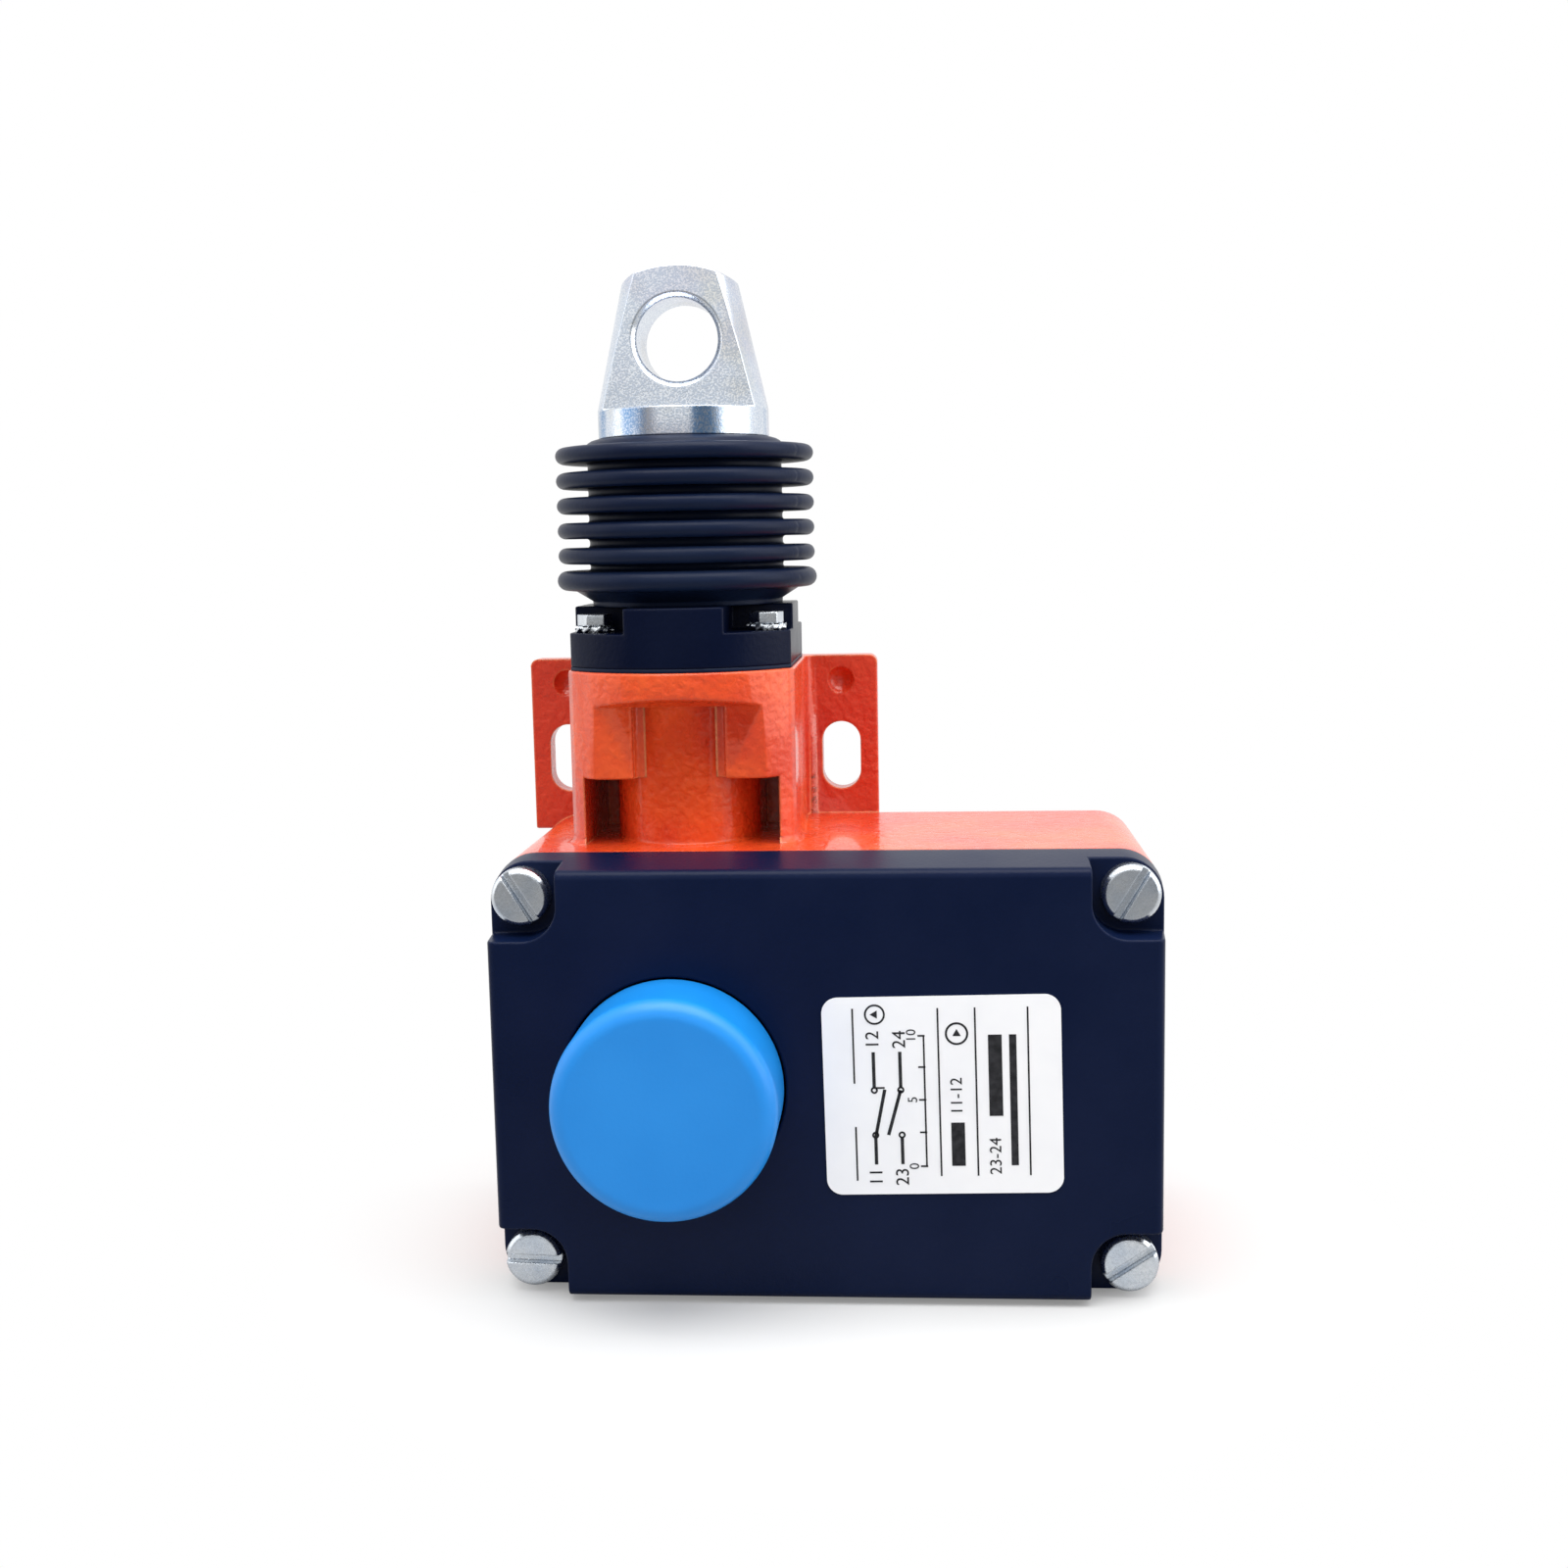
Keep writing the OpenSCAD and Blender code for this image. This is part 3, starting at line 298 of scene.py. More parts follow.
depthIn = addNode(tree, "SeparateXYZ", Vector=objectSpot).outputs["Y"]
tone = mixColour(tree, spread(tree, cloudy, 0, 1, 0.0, 0.7), enamel["lit"], enamel["deep"])
tone = mixColour(tree, spread(tree, mottle, 0, 1, 0.22, 0.0), tone, enamel["deep"])
# painted shade toward the back of the casting
tone = mixColour(tree, spread(tree, depthIn, *enamel["backFrom"], 0.0, 0.75), tone, enamel["deep"])
# painted highlight: convex and concave edges mixed toward a pale orange
tone = mixColour(tree, spread(tree, edge[0], 0, 1, 0.0, 0.7), tone, enamel["thin"])
fill(tree, shader.inputs["Base Color"], tone)
fill(tree, shader.inputs["Roughness"], spread(tree, mottle, 0, 1, 0.24, 0.34))
height = maths(tree, "MULTIPLY", mottle, spread(tree, crinkled, 0, 1, 0.45, 1.0))
peel = addBump(tree, shader, height, 1.0, enamel["peelDepth"], edge[1])
fineGrain = useGroup(tree, patches, Scale=enamel["fine"], Low=0.3, High=0.7)[0]
addBump(tree, shader, fineGrain, 1.0, enamel["fineDepth"], peel)
looks["housing"] = look


# Moulded plastic and rubber: clouded tone, a fine spark-eroded grain, and a painted highlight that
# makes edges paler
def plasticLook(name, colour, dustAndEdgeSheen, roughness, grain, grainDepth, level=0.2, edgeSheen=0.5, soft=0.0004):
    look, tree, shader = newLook(name, Specular_IOR_Level=level)
    cloudy = useGroup(tree, patches, Scale=60.0, Low=0.3, High=0.75, Detail=4.0)[0]
    fine = useGroup(tree, patches, Scale=grain, Low=0.3, High=0.7)[0]
    edge = useGroup(tree, edges, Radius=soft, Low=0.03, High=0.4)
    tone = mixColour(tree, spread(tree, cloudy, 0, 1, 0.0, 0.5), colour, dustAndEdgeSheen)
    # painted highlight: edges, convex and concave, mixed toward the paler tone
    tone = mixColour(tree, spread(tree, edge[0], 0, 1, 0.0, edgeSheen), tone, dustAndEdgeSheen)
    fill(tree, shader.inputs["Base Color"], tone)
    fill(tree, shader.inputs["Roughness"], mixValue(tree, cloudy, roughness[0], roughness[1]))
    addBump(tree, shader, fine, 0.3, grainDepth, edge[1])
    return look


looks["cover"] = plasticLook("coverMoulding", (0.0012, 0.0055, 0.027), (0.006, 0.012, 0.042),
                             (0.26, 0.36), 2400.0, 0.00003, level=0.10)
looks["neck_flange"] = plasticLook("flangeMoulding", (0.0005, 0.0022, 0.014), (0.004, 0.009, 0.030),
                                   (0.24, 0.38), 1500.0, 0.00005, level=0.08)
looks["button"] = plasticLook("blueMoulding", (0.006, 0.205, 0.62), (0.016, 0.26, 0.72),
                              (0.34, 0.42), 2200.0, 0.00002, level=0.35)
looks["rubber"] = plasticLook("rubber", (0.0022, 0.0064, 0.025), (0.010, 0.019, 0.046),
                              (0.34, 0.44), 1800.0, 0.00003, level=0.12)
looks["block"] = plasticLook("thermoset", (0.020, 0.018, 0.017), (0.045, 0.042, 0.040),
                             (0.45, 0.6), 1600.0, 0.00004)
looks["ivory"] = plasticLook("acetal", (0.74, 0.69, 0.57), (0.82, 0.78, 0.68),
                             (0.40, 0.5), 1600.0, 0.00002, level=0.4)


# Metals: a clouded tone with a fine speckle, and a painted highlight that makes edges bright
def metalLook(name, colour, tint, roughness, speckle, bright=(0.93, 0.95, 0.97)):
    look, tree, shader = newLook(name, Metallic=1.0)
    cloudy = useGroup(tree, patches, Scale=260.0, Low=0.35, High=0.65, Detail=3.0)[0]
    fine = useGroup(tree, patches, Scale=speckle, Low=0.3, High=0.7, Detail=3.0)[0]
    edge = useGroup(tree, edges, Radius=0.0003, Low=0.03, High=0.4)
    tone = mixColour(tree, cloudy, colour, tint)
    tone = mixColour(tree, spread(tree, fine, 0, 1, 0.0, 0.35), tone,
                     tuple(value * 0.7 for value in tint))
    # painted highlight on edges
    tone = mixColour(tree, spread(tree, edge[0], 0, 1, 0.0, 0.6), tone, bright)
    fill(tree, shader.inputs["Base Color"], tone)
    fill(tree, shader.inputs["Roughness"], mixValue(tree, fine, roughness[0], roughness[1]))
    addBump(tree, shader, fine, 0.35, 0.00002, edge[1])
    return look


looks["zinc"] = metalLook("zincPlate", (0.74, 0.77, 0.80), (0.60, 0.66, 0.74), (0.20, 0.34),
                          3200.0)
looks["steel"] = metalLook("brightSteel", (0.72, 0.73, 0.74), (0.60, 0.62, 0.65), (0.22, 0.34),
                           2600.0)
looks["spring_steel"] = metalLook("springWire", (0.42, 0.43, 0.45), (0.30, 0.31, 0.33), (0.30, 0.42),
                                  2600.0, bright=(0.6, 0.6, 0.62))
looks["brass"] = metalLook("brass", (0.75, 0.53, 0.20), (0.62, 0.42, 0.14), (0.24, 0.38), 2200.0,
                           bright=(0.88, 0.70, 0.36))
looks["bronze"] = metalLook("sinteredBronze", (0.52, 0.34, 0.16), (0.38, 0.24, 0.11), (0.42, 0.6),
                            3600.0, bright=(0.66, 0.46, 0.25))

# Blue-passivated zinc on the turned eye: speckled blue bands, faint violet and straw clouds, and a
# painted highlight on edges
passivate = dict(base=(0.78, 0.82, 0.87), blue=(0.16, 0.30, 0.52), violet=(0.60, 0.56, 0.66),
                 straw=(0.70, 0.69, 0.64), bright=(0.97, 0.98, 1.0), collarTop=0.0488,
                 collarFull=0.0484)
look, tree, shader = newLook("passivatedZinc", Metallic=1.0)
speckle = useGroup(tree, patches, Scale=4200.0, Detail=2.0, Low=0.40, High=0.56)[0]
bands = useGroup(tree, patches, Scale=190.0, Detail=1.0, Low=0.50, High=0.62,
                 Stretch=(1.0, 1.0, 0.12))[0]
violetCloud = useGroup(tree, patches, Scale=75.0, Detail=2.0, Low=0.46, High=0.66)[0]
strawCloud = useGroup(tree, patches, Scale=110.0, Detail=2.0, Low=0.48, High=0.62)[0]
edge = useGroup(tree, edges, Radius=0.00025, Low=0.03, High=0.3)
objectSpot = addNode(tree, "TexCoord").outputs["Object"]
heightUp = addNode(tree, "SeparateXYZ", Vector=objectSpot).outputs["Z"]
onCollar = spread(tree, heightUp, passivate["collarTop"], passivate["collarFull"], 0.0, 1.0)
tone = mixColour(tree, spread(tree, strawCloud, 0, 1, 0.0, 0.7), passivate["base"],
                 passivate["straw"])
tone = mixColour(tree, spread(tree, violetCloud, 0, 1, 0.0, 0.7), tone, passivate["violet"])
tone = mixColour(tree, spread(tree, speckle, 0, 1, 0.0, 0.30), tone, passivate["blue"])
blued = maths(tree, "MULTIPLY", maths(tree, "MULTIPLY", bands, onCollar),
              spread(tree, speckle, 0, 1, 0.55, 1.0))
tone = mixColour(tree, blued, tone, passivate["blue"])
# painted highlight: edges mixed toward near white
tone = mixColour(tree, spread(tree, edge[0], 0, 1, 0.0, 0.8), tone, passivate["bright"])
fill(tree, shader.inputs["Base Color"], tone)
fill(tree, shader.inputs["Roughness"], mixValue(tree, speckle, 0.17, 0.27))
addBump(tree, shader, speckle, 0.35, 0.00001, edge[1])
looks["eyeZinc"] = look

look, tree, shader = newLook("labelFilm", Specular_IOR_Level=0.3)
cloudy = useGroup(tree, patches, Scale=150.0, Low=0.3, High=0.7)[0]
fill(tree, shader.inputs["Base Color"],
     mixColour(tree, cloudy, (0.86, 0.86, 0.87), (0.82, 0.82, 0.84)))
fill(tree, shader.inputs["Roughness"], spread(tree, cloudy, 0, 1, 0.36, 0.46))
looks["label"] = look
look, tree, shader = newLook("printInk", Roughness=0.5, Specular_IOR_Level=0.2)
cloudy = useGroup(tree, patches, Scale=1200.0, Low=0.3, High=0.7)[0]
fill(tree, shader.inputs["Base Color"],
     mixColour(tree, cloudy, (0.010, 0.010, 0.012), (0.03, 0.03, 0.034)))
looks["ink"] = look
print("finishes made")


def selectOnly(*things):
    for other in bpy.context.selected_objects:
        other.select_set(False)
    for other in things:
        other.select_set(True)
    bpy.context.view_layer.objects.active = things[0]


def applied(piece, kind, **settings):
    selectOnly(piece)
    modifier = piece.modifiers.new(kind, kind)
    for name, value in settings.items():
        setattr(modifier, name, value)
    bpy.ops.object.modifier_apply(modifier=modifier.name)


def placed(piece):
    selectOnly(piece)
    bpy.ops.object.transform_apply(location=True, rotation=True, scale=True)


def workingCopy(node, name, slivers=0.0):
    piece = bpy.data.objects.new(name, cadNodes[node].data.copy())
    bpy.context.scene.collection.objects.link(piece)
    piece.data.materials.clear()
    selectOnly(piece)
    bpy.ops.object.mode_set(mode="EDIT")
    bpy.ops.mesh.select_all(action="SELECT")
    bpy.ops.mesh.remove_doubles(threshold=1e-6)
    bpy.ops.mesh.dissolve_limited(angle_limit=math.radians(0.5))
    if slivers:
        bpy.ops.mesh.dissolve_degenerate(threshold=slivers)
        bpy.ops.mesh.dissolve_limited(angle_limit=math.radians(0.5))
    bpy.ops.object.mode_set(mode="OBJECT")
    return piece


def roundEdges(piece, width, segments=2, angle=28, shortest=0.0, side=0, where=None):
    selectOnly(piece)
    bpy.ops.object.mode_set(mode="EDIT")
    bpy.ops.mesh.select_mode(type="EDGE")
    bpy.ops.mesh.select_all(action="DESELECT")
    shape = bmesh.from_edit_mesh(piece.data)
    for edge in shape.edges:
        if not edge.is_manifold or edge.calc_length() < shortest:
            continue
        bend = edge.calc_face_angle_signed()
        if side:
            bend *= side        # 1 takes the edges that stand out, -1 the inner corners
        middle = (edge.verts[0].co + edge.verts[1].co) / 2
        if (bend if side else abs(bend)) > math.radians(angle):
            edge.select_set(where is None or where(middle))
    bmesh.update_edit_mesh(piece.data)
    bpy.ops.mesh.bevel(offset=width, segments=segments, profile=0.5, affect="EDGES",
                       clamp_overlap=False)
    bpy.ops.object.mode_set(mode="OBJECT")


def smoothed(piece, angle=38):
    selectOnly(piece)
    bpy.ops.object.shade_smooth_by_angle(angle=math.radians(angle))
    applied(piece, "WEIGHTED_NORMAL", keep_sharp=True)


def finished(piece, node, look=None, across=None):
    piece.data.materials.append(looks[look or slotOf[node]])
    if across:
        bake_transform(piece)
    else:
        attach(piece, bodyOf[node])
    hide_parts(node)


# The casting: soft outer edges, fillets round the foot of the neck, and a bore opened for a thread
casting = dict(edge=0.30 * mm, footFillet=1.0 * mm, barrelFillet=0.4 * mm,
               boreR=9.2 * mm, threadR=10.0 * mm, boreFrom=51.5 * mm, boreReach=0.35 * mm)
boxTop = -8.5 * mm
wall = 3.5 * mm
low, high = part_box("housing")


def outsideCasting(point):
    chamber = (low.x + wall + mm < point.x < high.x - wall - mm
               and -36.5 * mm < point.y < -wall - 0.1 * mm and low.z + wall < point.z < -11 * mm)
    slotOrDimple = abs(abs(point.x) - 20 * mm) < 4 * mm and point.z > -6 * mm and point.y > -3.6 * mm
    return not chamber and not slotOrDimple


def neckFoot(point):
    return abs(point.z - boxTop) < 0.1 * mm and 13 * mm < abs(point.x) < 15.2 * mm \
        and point.y < -5 * mm


def barrelFoot(point):
    return abs(point.z - boxTop) < 0.1 * mm and abs(point.x) < 9.8 * mm and point.y < -12.1 * mm


housing = workingCopy("housing", "castHousing")
roundEdges(housing, casting["footFillet"], 4, angle=60, side=-1, where=neckFoot)
roundEdges(housing, casting["barrelFillet"], 3, angle=60, side=-1, where=barrelFoot)
roundEdges(housing, casting["edge"], 3, angle=50, shortest=0.5 * mm, side=1, where=outsideCasting)
selectOnly(housing)
bpy.ops.object.mode_set(mode="EDIT")
bpy.ops.mesh.select_mode(type="VERT")
bpy.ops.mesh.select_all(action="DESELECT")
shape = bmesh.from_edit_mesh(housing.data)
for point in shape.verts:
    reach = math.hypot(point.co.y - pullY, point.co.z - entryZ)
    onBore = abs(reach - casting["boreR"]) < casting["boreReach"]
    point.select = onBore and point.co.x > casting["boreFrom"]
shape.select_flush_mode()
bmesh.update_edit_mesh(housing.data)
wider = casting["threadR"] / casting["boreR"]
bpy.ops.transform.resize(value=(1, wider, wider), center_override=(high.x, pullY, entryZ))
bpy.ops.object.mode_set(mode="OBJECT")
smoothed(housing)
finished(housing, "housing")
print("housing rounded,", len(housing.data.polygons), "faces")

# The pieces that show, with the width of their rounded edges; the cover's hidden rim stays sharp
roundings = {
    "cover": dict(name="coverMoulding", width=0.25 * mm,
                  where=lambda point: point.y < -36.3 * mm),
    "reset_button": dict(name="resetCap", width=0.15 * mm),
    "pull_eye": dict(name="pullEye", width=0.12 * mm, slivers=0.12 * mm, look="eyeZinc"),
    "neck_flange": dict(name="neckFlange", width=0.20 * mm, shortest=0.5 * mm),
    "cover_screws": dict(name="coverScrews", width=0.12 * mm),
    "flange_screws": dict(name="flangeScrews", width=0.10 * mm, side=1),
}
refined = {"housing": housing}
for node, plan in roundings.items():
    piece = workingCopy(node, plan["name"], plan.get("slivers", 0.0))
    roundEdges(piece, plan["width"], shortest=plan.get("shortest", 0.0), side=plan.get("side", 0),
               where=plan.get("where"))
    smoothed(piece)
    finished(piece, node, plan.get("look"))
    refined[node] = piece
    print("rounded", node, len(piece.data.polygons), "faces")


# A line of points drawn by extruding one vertex from point to point
def drawnLine(name, points, closed=False):
    selectOnly(floor)
    bpy.ops.mesh.primitive_plane_add(size=mm, location=points[0])
    piece = bpy.context.object
    piece.name = name
    placed(piece)
    bpy.ops.object.mode_set(mode="EDIT")
    bpy.ops.mesh.select_mode(type="VERT")
    bpy.ops.mesh.select_all(action="SELECT")
    bpy.ops.mesh.merge(type="CENTER")
    for here, there in zip(points, points[1:]):
        bpy.ops.mesh.extrude_region_move(
            TRANSFORM_OT_translate={"value": Vector(there) - Vector(here)})
    if closed:
        bpy.ops.mesh.select_all(action="SELECT")
        bpy.ops.mesh.edge_face_add()
    bpy.ops.object.mode_set(mode="OBJECT")
    return piece


def arc(across, up, radius, fromAngle, toAngle, steps):
    turns = [math.radians(fromAngle + (toAngle - fromAngle) * step / steps)
             for step in range(steps + 1)]
    return [(across + radius * math.cos(turn), up + radius * math.sin(turn)) for turn in turns]


# The bellows: flat rings with round tips on a thin wall, spun about the pull axis, in millimetres
bellowsPlan = dict(foot=22.8, top=44.95, shank=9.75, collar=12.9, root=13.1, tip=16.325,
                   firstRing=26.2, pitch=3.32, rings=6, half=1.075, footHalf=1.3, fillet=0.42,
                   skin=0.6, turns=120, seamAngle=65, seamWidth=0.0001, seamDepth=0.00005,
                   flare=[(12.95, 0.62), (15.125, 1.97), (15.725, 2.09)],      # radius, above the foot
                   crown=[(13.65, 43.90), (13.42, 44.00), (13.25, 44.18), (12.95, 44.47),
                          (12.5, 44.73), (11.95, 44.89), (11.3, 44.95)])       # radius, height


def bellowsOutline(plan):
    foot, root, tip, fillet = plan["foot"], plan["root"], plan["tip"], plan["fillet"]
    outline = [(plan["shank"], foot), (plan["collar"], foot)]
    outline += [(radius, foot + rise) for radius, rise in plan["flare"]]
    for ring in range(plan["rings"]):
        half = plan["half"] if ring else plan["footHalf"]
        middle = plan["firstRing"] + ring * plan["pitch"]
        if ring:
            outline += arc(root + fillet, middle - half - fillet, fillet, 180, 90, 4)
        outline += arc(tip, middle, half, -90, 90, 12)
        if ring < plan["rings"] - 1:
            outline += arc(root + fillet, middle + half + fillet, fillet, 270, 180, 4)
    return outline + plan["crown"] + [(plan["shank"], plan["top"])]


bellows = drawnLine("bellowsBoot", [(radius * mm, pullY, height * mm)
                                    for radius, height in bellowsOutline(bellowsPlan)])
selectOnly(bellows)
bpy.ops.object.mode_set(mode="EDIT")
bpy.ops.mesh.select_all(action="SELECT")
bpy.ops.mesh.spin(steps=bellowsPlan["turns"], angle=math.tau, center=(0, pullY, 0), axis=(0, 0, 1))
bpy.ops.mesh.select_all(action="SELECT")
bpy.ops.mesh.remove_doubles(threshold=1e-6)
bpy.ops.mesh.normals_make_consistent(inside=False)
seam = math.radians(bellowsPlan["seamAngle"])
seamSide = Vector((math.cos(seam), math.sin(seam), 0))      # square to the parting plane
seamFoot = Vector((0, pullY, 0))
for shift in (-bellowsPlan["seamWidth"], 0, bellowsPlan["seamWidth"]):
    bpy.ops.mesh.select_all(action="SELECT")
    bpy.ops.mesh.bisect(plane_co=seamFoot + seamSide * shift, plane_no=seamSide)
bpy.ops.mesh.select_mode(type="VERT")
bpy.ops.mesh.select_all(action="DESELECT")
shape = bmesh.from_edit_mesh(bellows.data)
for point in shape.verts:
    point.select = abs((point.co - seamFoot).dot(seamSide)) < 1e-6
shape.select_flush_mode()
bmesh.update_edit_mesh(bellows.data)
bpy.ops.transform.shrink_fatten(value=-bellowsPlan["seamDepth"])
bpy.ops.object.mode_set(mode="OBJECT")
applied(bellows, "SOLIDIFY", thickness=bellowsPlan["skin"] * mm, offset=-1.0,
        use_even_offset=True)
smoothed(bellows, 50)
finished(bellows, "bellows", across=dict(first="base", second="pull_head",
                                         start=(0, pullY, 23.5 * mm), end=(0, pullY, 44 * mm)))
refined["bellows"] = bellows
print("bellows spun,", len(bellows.data.polygons), "faces")


# Round-wire springs, whose end turns lie closer
coilShape = dict(stepsPerTurn=24, closing=0.85)


def coil(name, plan):
    points = []
    count = int(plan["turns"] * coilShape["stepsPerTurn"])
    middle = (plan["start"] + plan["end"]) / 2
    span = plan["end"] - plan["start"]
    halfTravel = (span - math.copysign(plan["wire"], span)) / 2      # between the wire's centres
    for step in range(count + 1):
        share = 1 - 2 * step / count
        along = middle + math.copysign(halfTravel * abs(share) ** coilShape["closing"],
                                       -share * span)
        turn = math.tau * plan["turns"] * step / count
        across, up = plan["radius"] * math.cos(turn), plan["radius"] * math.sin(turn)
        points.append({"z": (across, pullY / mm + up, along),
                       "y": (across, along, entryZ / mm + up),
                       "x": (along, pullY / mm + across, entryZ / mm + up)}[plan["axis"]])
    wire = bpy.data.curves.new(name, "CURVE")
    wire.dimensions = "3D"
    wire.bevel_depth = plan["wire"] / 2 * mm
    wire.bevel_resolution = 3
    wire.use_fill_caps = True
    line = wire.splines.new("POLY")
    line.points.add(count)
    for point, place in zip(line.points, points):
        point.co = (*(Vector(place) * mm), 1)
    piece = bpy.data.objects.new(name, wire)
    bpy.context.scene.collection.objects.link(piece)
    selectOnly(piece)
    bpy.ops.object.convert(target="MESH")
    bpy.ops.object.mode_set(mode="EDIT")
    bpy.ops.mesh.select_all(action="SELECT")
    bpy.ops.mesh.remove_doubles(threshold=1e-6)
    bpy.ops.object.mode_set(mode="OBJECT")
    return bpy.context.object


springs = {
    "main_spring": dict(axis="z", radius=6.2, wire=1.8, turns=5, start=-8.0, end=12.5,
                        first="pull_head", second="base"),
    "reset_spring": dict(axis="y", radius=8.5, wire=1.1, turns=4.5, start=-41.2, end=-55.3,
                         first="base", second="reset"),
    "contact_spring": dict(axis="x", radius=2.0, wire=0.5, turns=5, start=36.15, end=44.05,
                           first="contact_carrier", second="base"),
}
for node, plan in springs.items():
    words = node.split("_")
    piece = coil(words[0] + "Spring", plan)
    smoothed(piece, 60)
    ends = []
    for place in (plan["start"], plan["end"]):
        ends.append({"z": (0, pullY, place * mm), "y": (0, place * mm, entryZ),
                     "x": (place * mm, pullY, entryZ)}[plan["axis"]])
    finished(piece, node, across=dict(first=plan["first"], second=plan["second"],
                                      start=ends[0], end=ends[1]))
    refined[node] = piece
print("springs wound")


def added(piece, body, look):
    piece.data.materials.append(looks[look])
    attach(piece, body)


# Fillets between the neck's barrel and its columns, in millimetres, as depth from the mounting plane
neckFillet = dict(radius=1.0, columnSide=6.1, barrelR=9.7, barrelDepth=21.5, low=0.4, high=11.6,
                  sunk=0.3, backDepth=29.3, backInner=5.0)


def filletOutline(plan, side):
    inner = plan["columnSide"] - plan["radius"]
    rise = math.sqrt((plan["barrelR"] + plan["radius"]) ** 2 - inner ** 2)
    centre = inner, plan["barrelDepth"] + rise
    toBarrel = math.degrees(math.atan2(-rise, -centre[0]))
    curve = arc(centre[0], centre[1], plan["radius"], toBarrel, 0, 8)
    hidden = plan["columnSide"] + plan["sunk"]
    back = [(hidden, centre[1]), (hidden, plan["backDepth"]), (plan["backInner"], plan["backDepth"])]
    return [(side * across * mm, -depth * mm, plan["low"] * mm) for across, depth in curve + back]


for side, name in ((-1, "neckFilletLeft"), (1, "neckFilletRight")):
    piece = drawnLine(name, filletOutline(neckFillet, side), closed=True)
    selectOnly(piece)
    bpy.ops.object.mode_set(mode="EDIT")
    bpy.ops.mesh.select_all(action="SELECT")
    bpy.ops.mesh.extrude_region_move(
        TRANSFORM_OT_translate={"value": (0, 0, (neckFillet["high"] - neckFillet["low"]) * mm)})
    bpy.ops.mesh.select_all(action="SELECT")
    bpy.ops.mesh.normals_make_consistent(inside=False)
    bpy.ops.object.mode_set(mode="OBJECT")
    smoothed(piece)
    added(piece, "base", "housing")
print("neck fillets set")

# The cable entry's thread: a V ridge wound inside the bore, in millimetres
entryThread = dict(rootR=10.15, crestR=9.25, pitch=1.5, turns=5, start=52.4, steps=64,
                   crestFrom=0.60, crestTo=0.84, foot=1.44)
ridge = [(0, entryThread["rootR"]), (entryThread["crestFrom"], entryThread["crestR"]),
         (entryThread["crestTo"], entryThread["crestR"]),
         (entryThread["foot"], entryThread["rootR"])]
thread = drawnLine("entryThread", [(across * mm, -reach * mm, 0) for across, reach in ridge],
                   closed=True)
applied(thread, "SCREW", axis="X", angle=math.tau, screw_offset=entryThread["pitch"] * mm,
        iterations=entryThread["turns"], steps=entryThread["steps"],
        render_steps=entryThread["steps"])
thread.location = (entryThread["start"] * mm, pullY, entryZ)
placed(thread)
bpy.ops.object.mode_set(mode="EDIT")
bpy.ops.mesh.select_all(action="SELECT")
bpy.ops.mesh.remove_doubles(threshold=1e-6)
bpy.ops.mesh.fill_holes(sides=0)
bpy.ops.mesh.select_all(action="SELECT")
bpy.ops.mesh.normals_make_consistent(inside=False)
bpy.ops.object.mode_set(mode="OBJECT")
smoothed(thread, 30)
added(thread, "base", "housing")
print("entry thread cut,", len(thread.data.polygons), "faces")

# Generic print on the label: ruled lines, a contact diagram and a travel diagram, turned a quarter.
# Places are millimetres across from the label's left edge and up from its lower edge.
labelPlan = dict(centre=(33.85, -37.8), size=(29.6, 25.4), turn=-1.0, front=46.43, film=0.04,
                 fine=0.22, bold=0.42, ringSides=36, arrowR=0.6, textSize=1.3)
fine, bold = labelPlan["fine"], labelPlan["bold"]
strokes = [      # across, up, width, height
    (3.85, 19.2, fine, 9.6), (3.85, 5.3, fine, 7.0), (14.4, 13.1, fine, 21.6),      # ruled lines
    (19.0, 13.1, fine, 21.6), (25.5, 13.1, fine, 21.6),
    (6.3, 5.6, bold, 3.4), (6.3, 16.1, bold, 4.6), (9.6, 5.6, bold, 3.4),           # contacts
    (9.6, 16.1, bold, 4.6), (7.0, 13.8, 1.2, fine),
    (12.6, 12.0, fine, 17.0), (12.3, 3.6, 0.9, fine), (12.3, 8.0, 0.9, fine),       # travel scale
    (12.3, 12.2, 0.9, fine), (12.3, 16.4, 0.9, fine), (12.3, 20.4, 0.9, fine),
    (16.6, 6.4, 1.7, 5.6), (21.4, 15.2, 1.7, 10.4), (23.6, 12.0, 0.9, 16.8),        # travel bars
]
slanted = [(6.95, 10.5, bold, 6.3, 12.0), (8.75, 10.6, bold, 6.0, 16.0)]      # and the lean
arrows = [(6.6, 23.2, -90), (16.7, 20.6, 0)]      # across, up, turn
rings = [(6.3, 7.7, 0.45, 0.24), (6.3, 13.5, 0.45, 0.24), (9.6, 7.7, 0.45, 0.24),
         (9.6, 13.5, 0.45, 0.24), (6.6, 23.2, 1.30, 0.24), (16.7, 20.6, 1.45, 0.26)]
# what is printed, across, up, height
figures = [("11", 7.0, 1.1, 1.8), ("12", 7.0, 18.8, 1.8), ("23", 10.3, 1.1, 1.8),
           ("24", 10.3, 18.8, 1.8), ("0", 11.6, 3.2, 1.3), ("5", 11.6, 11.8, 1.3),
           ("10", 11.6, 19.6, 1.3), ("11-12", 17.2, 10.2, 1.6), ("23-24", 21.9, 2.4, 1.6)]


def onLabel(across, up):
    width, height = labelPlan["size"]
    return (across - width / 2) * mm, 0, (up - height / 2) * mm


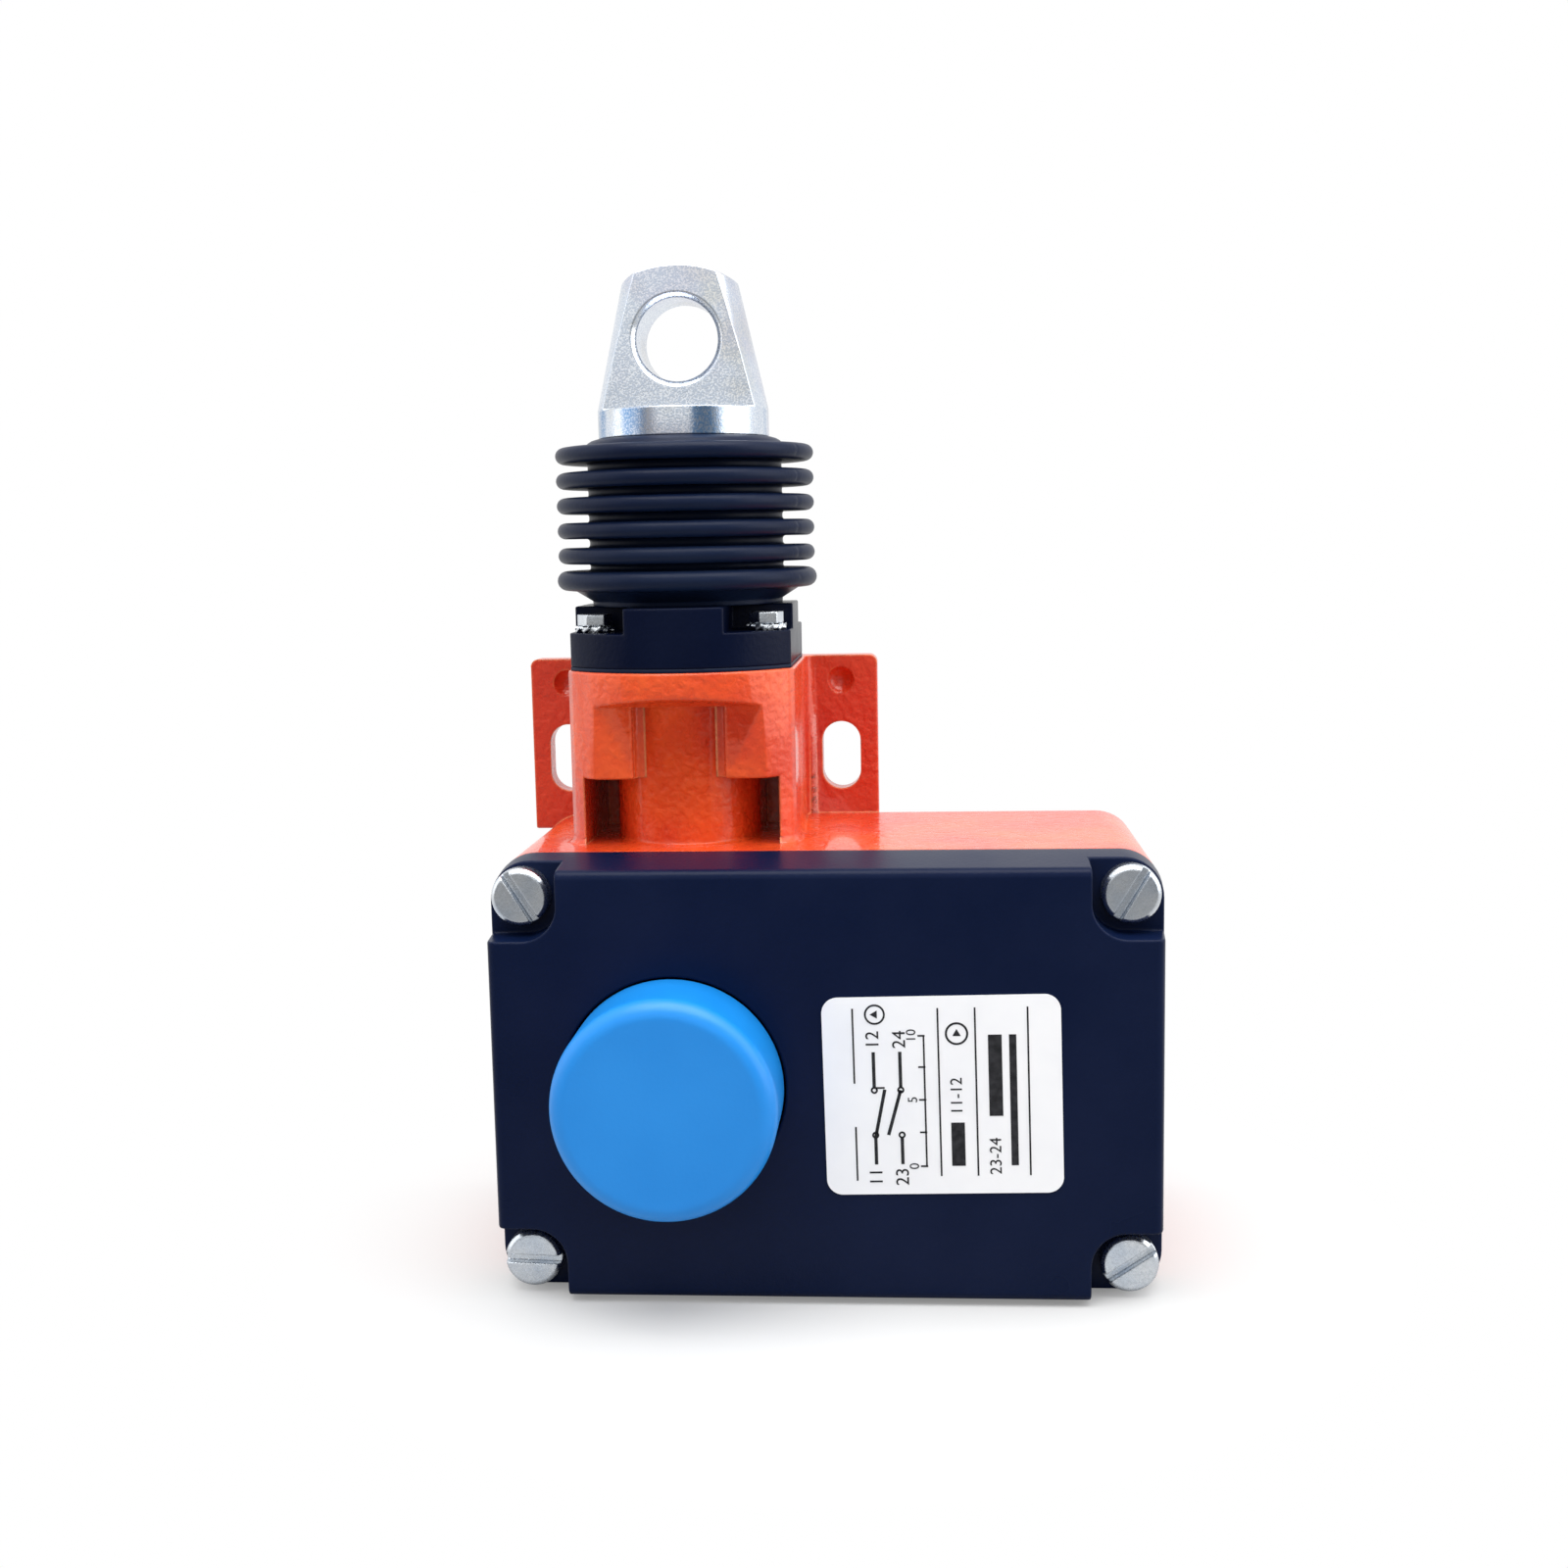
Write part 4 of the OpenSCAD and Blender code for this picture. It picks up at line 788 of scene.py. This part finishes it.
printed = []
quarter = math.radians(90)
for across, up, width, height, lean in [(*stroke, 0) for stroke in strokes] + slanted:
    bpy.ops.mesh.primitive_plane_add(size=1, location=onLabel(across, up),
                                     rotation=(quarter, math.radians(lean), 0))
    bpy.context.object.scale = (width * mm, height * mm, 1)
    printed.append(bpy.context.object)
for across, up, radius, width in rings:
    bpy.ops.mesh.primitive_circle_add(vertices=labelPlan["ringSides"], radius=radius * mm,
                                      fill_type="NGON", location=onLabel(across, up),
                                      rotation=(quarter, 0, 0))
    bpy.ops.object.mode_set(mode="EDIT")
    bpy.ops.mesh.select_mode(type="FACE")
    bpy.ops.mesh.select_all(action="SELECT")
    bpy.ops.mesh.inset(thickness=width * mm)
    bpy.ops.mesh.delete(type="FACE")
    bpy.ops.object.mode_set(mode="OBJECT")
    printed.append(bpy.context.object)
for across, up, turn in arrows:
    bpy.ops.mesh.primitive_circle_add(vertices=3, radius=labelPlan["arrowR"] * mm,
                                      fill_type="NGON", location=onLabel(across, up),
                                      rotation=(quarter, math.radians(turn), 0))
    printed.append(bpy.context.object)
for words, across, up, height in figures:
    bpy.ops.object.text_add(location=onLabel(across, up), rotation=(quarter, -quarter, 0))
    bpy.context.object.data.body = words
    bpy.context.object.data.size = height * labelPlan["textSize"] * mm
    bpy.ops.object.convert(target="MESH")
    printed.append(bpy.context.object)
for piece in printed:
    placed(piece)
selectOnly(*printed)
bpy.ops.object.join()
labelPrint = bpy.context.object
labelPrint.name = "labelPrint"
labelPrint.location = (labelPlan["centre"][0] * mm, -labelPlan["front"] * mm,
                       labelPlan["centre"][1] * mm)
labelPrint.rotation_euler = (0, math.radians(labelPlan["turn"]), 0)
placed(labelPrint)
applied(labelPrint, "SOLIDIFY", thickness=labelPlan["film"] * mm, offset=-1.0)
added(labelPrint, "base", "ink")
print("label printed,", len(labelPrint.data.polygons), "faces")

# The rest keep their shape, merged and smoothed
for node in cadNodes:
    if node not in refined:
        words = node.split("_")
        piece = workingCopy(node, "smooth" + "".join(word.capitalize() for word in words))
        smoothed(piece, 30)
        finished(piece, node)
print("inner pieces finished")
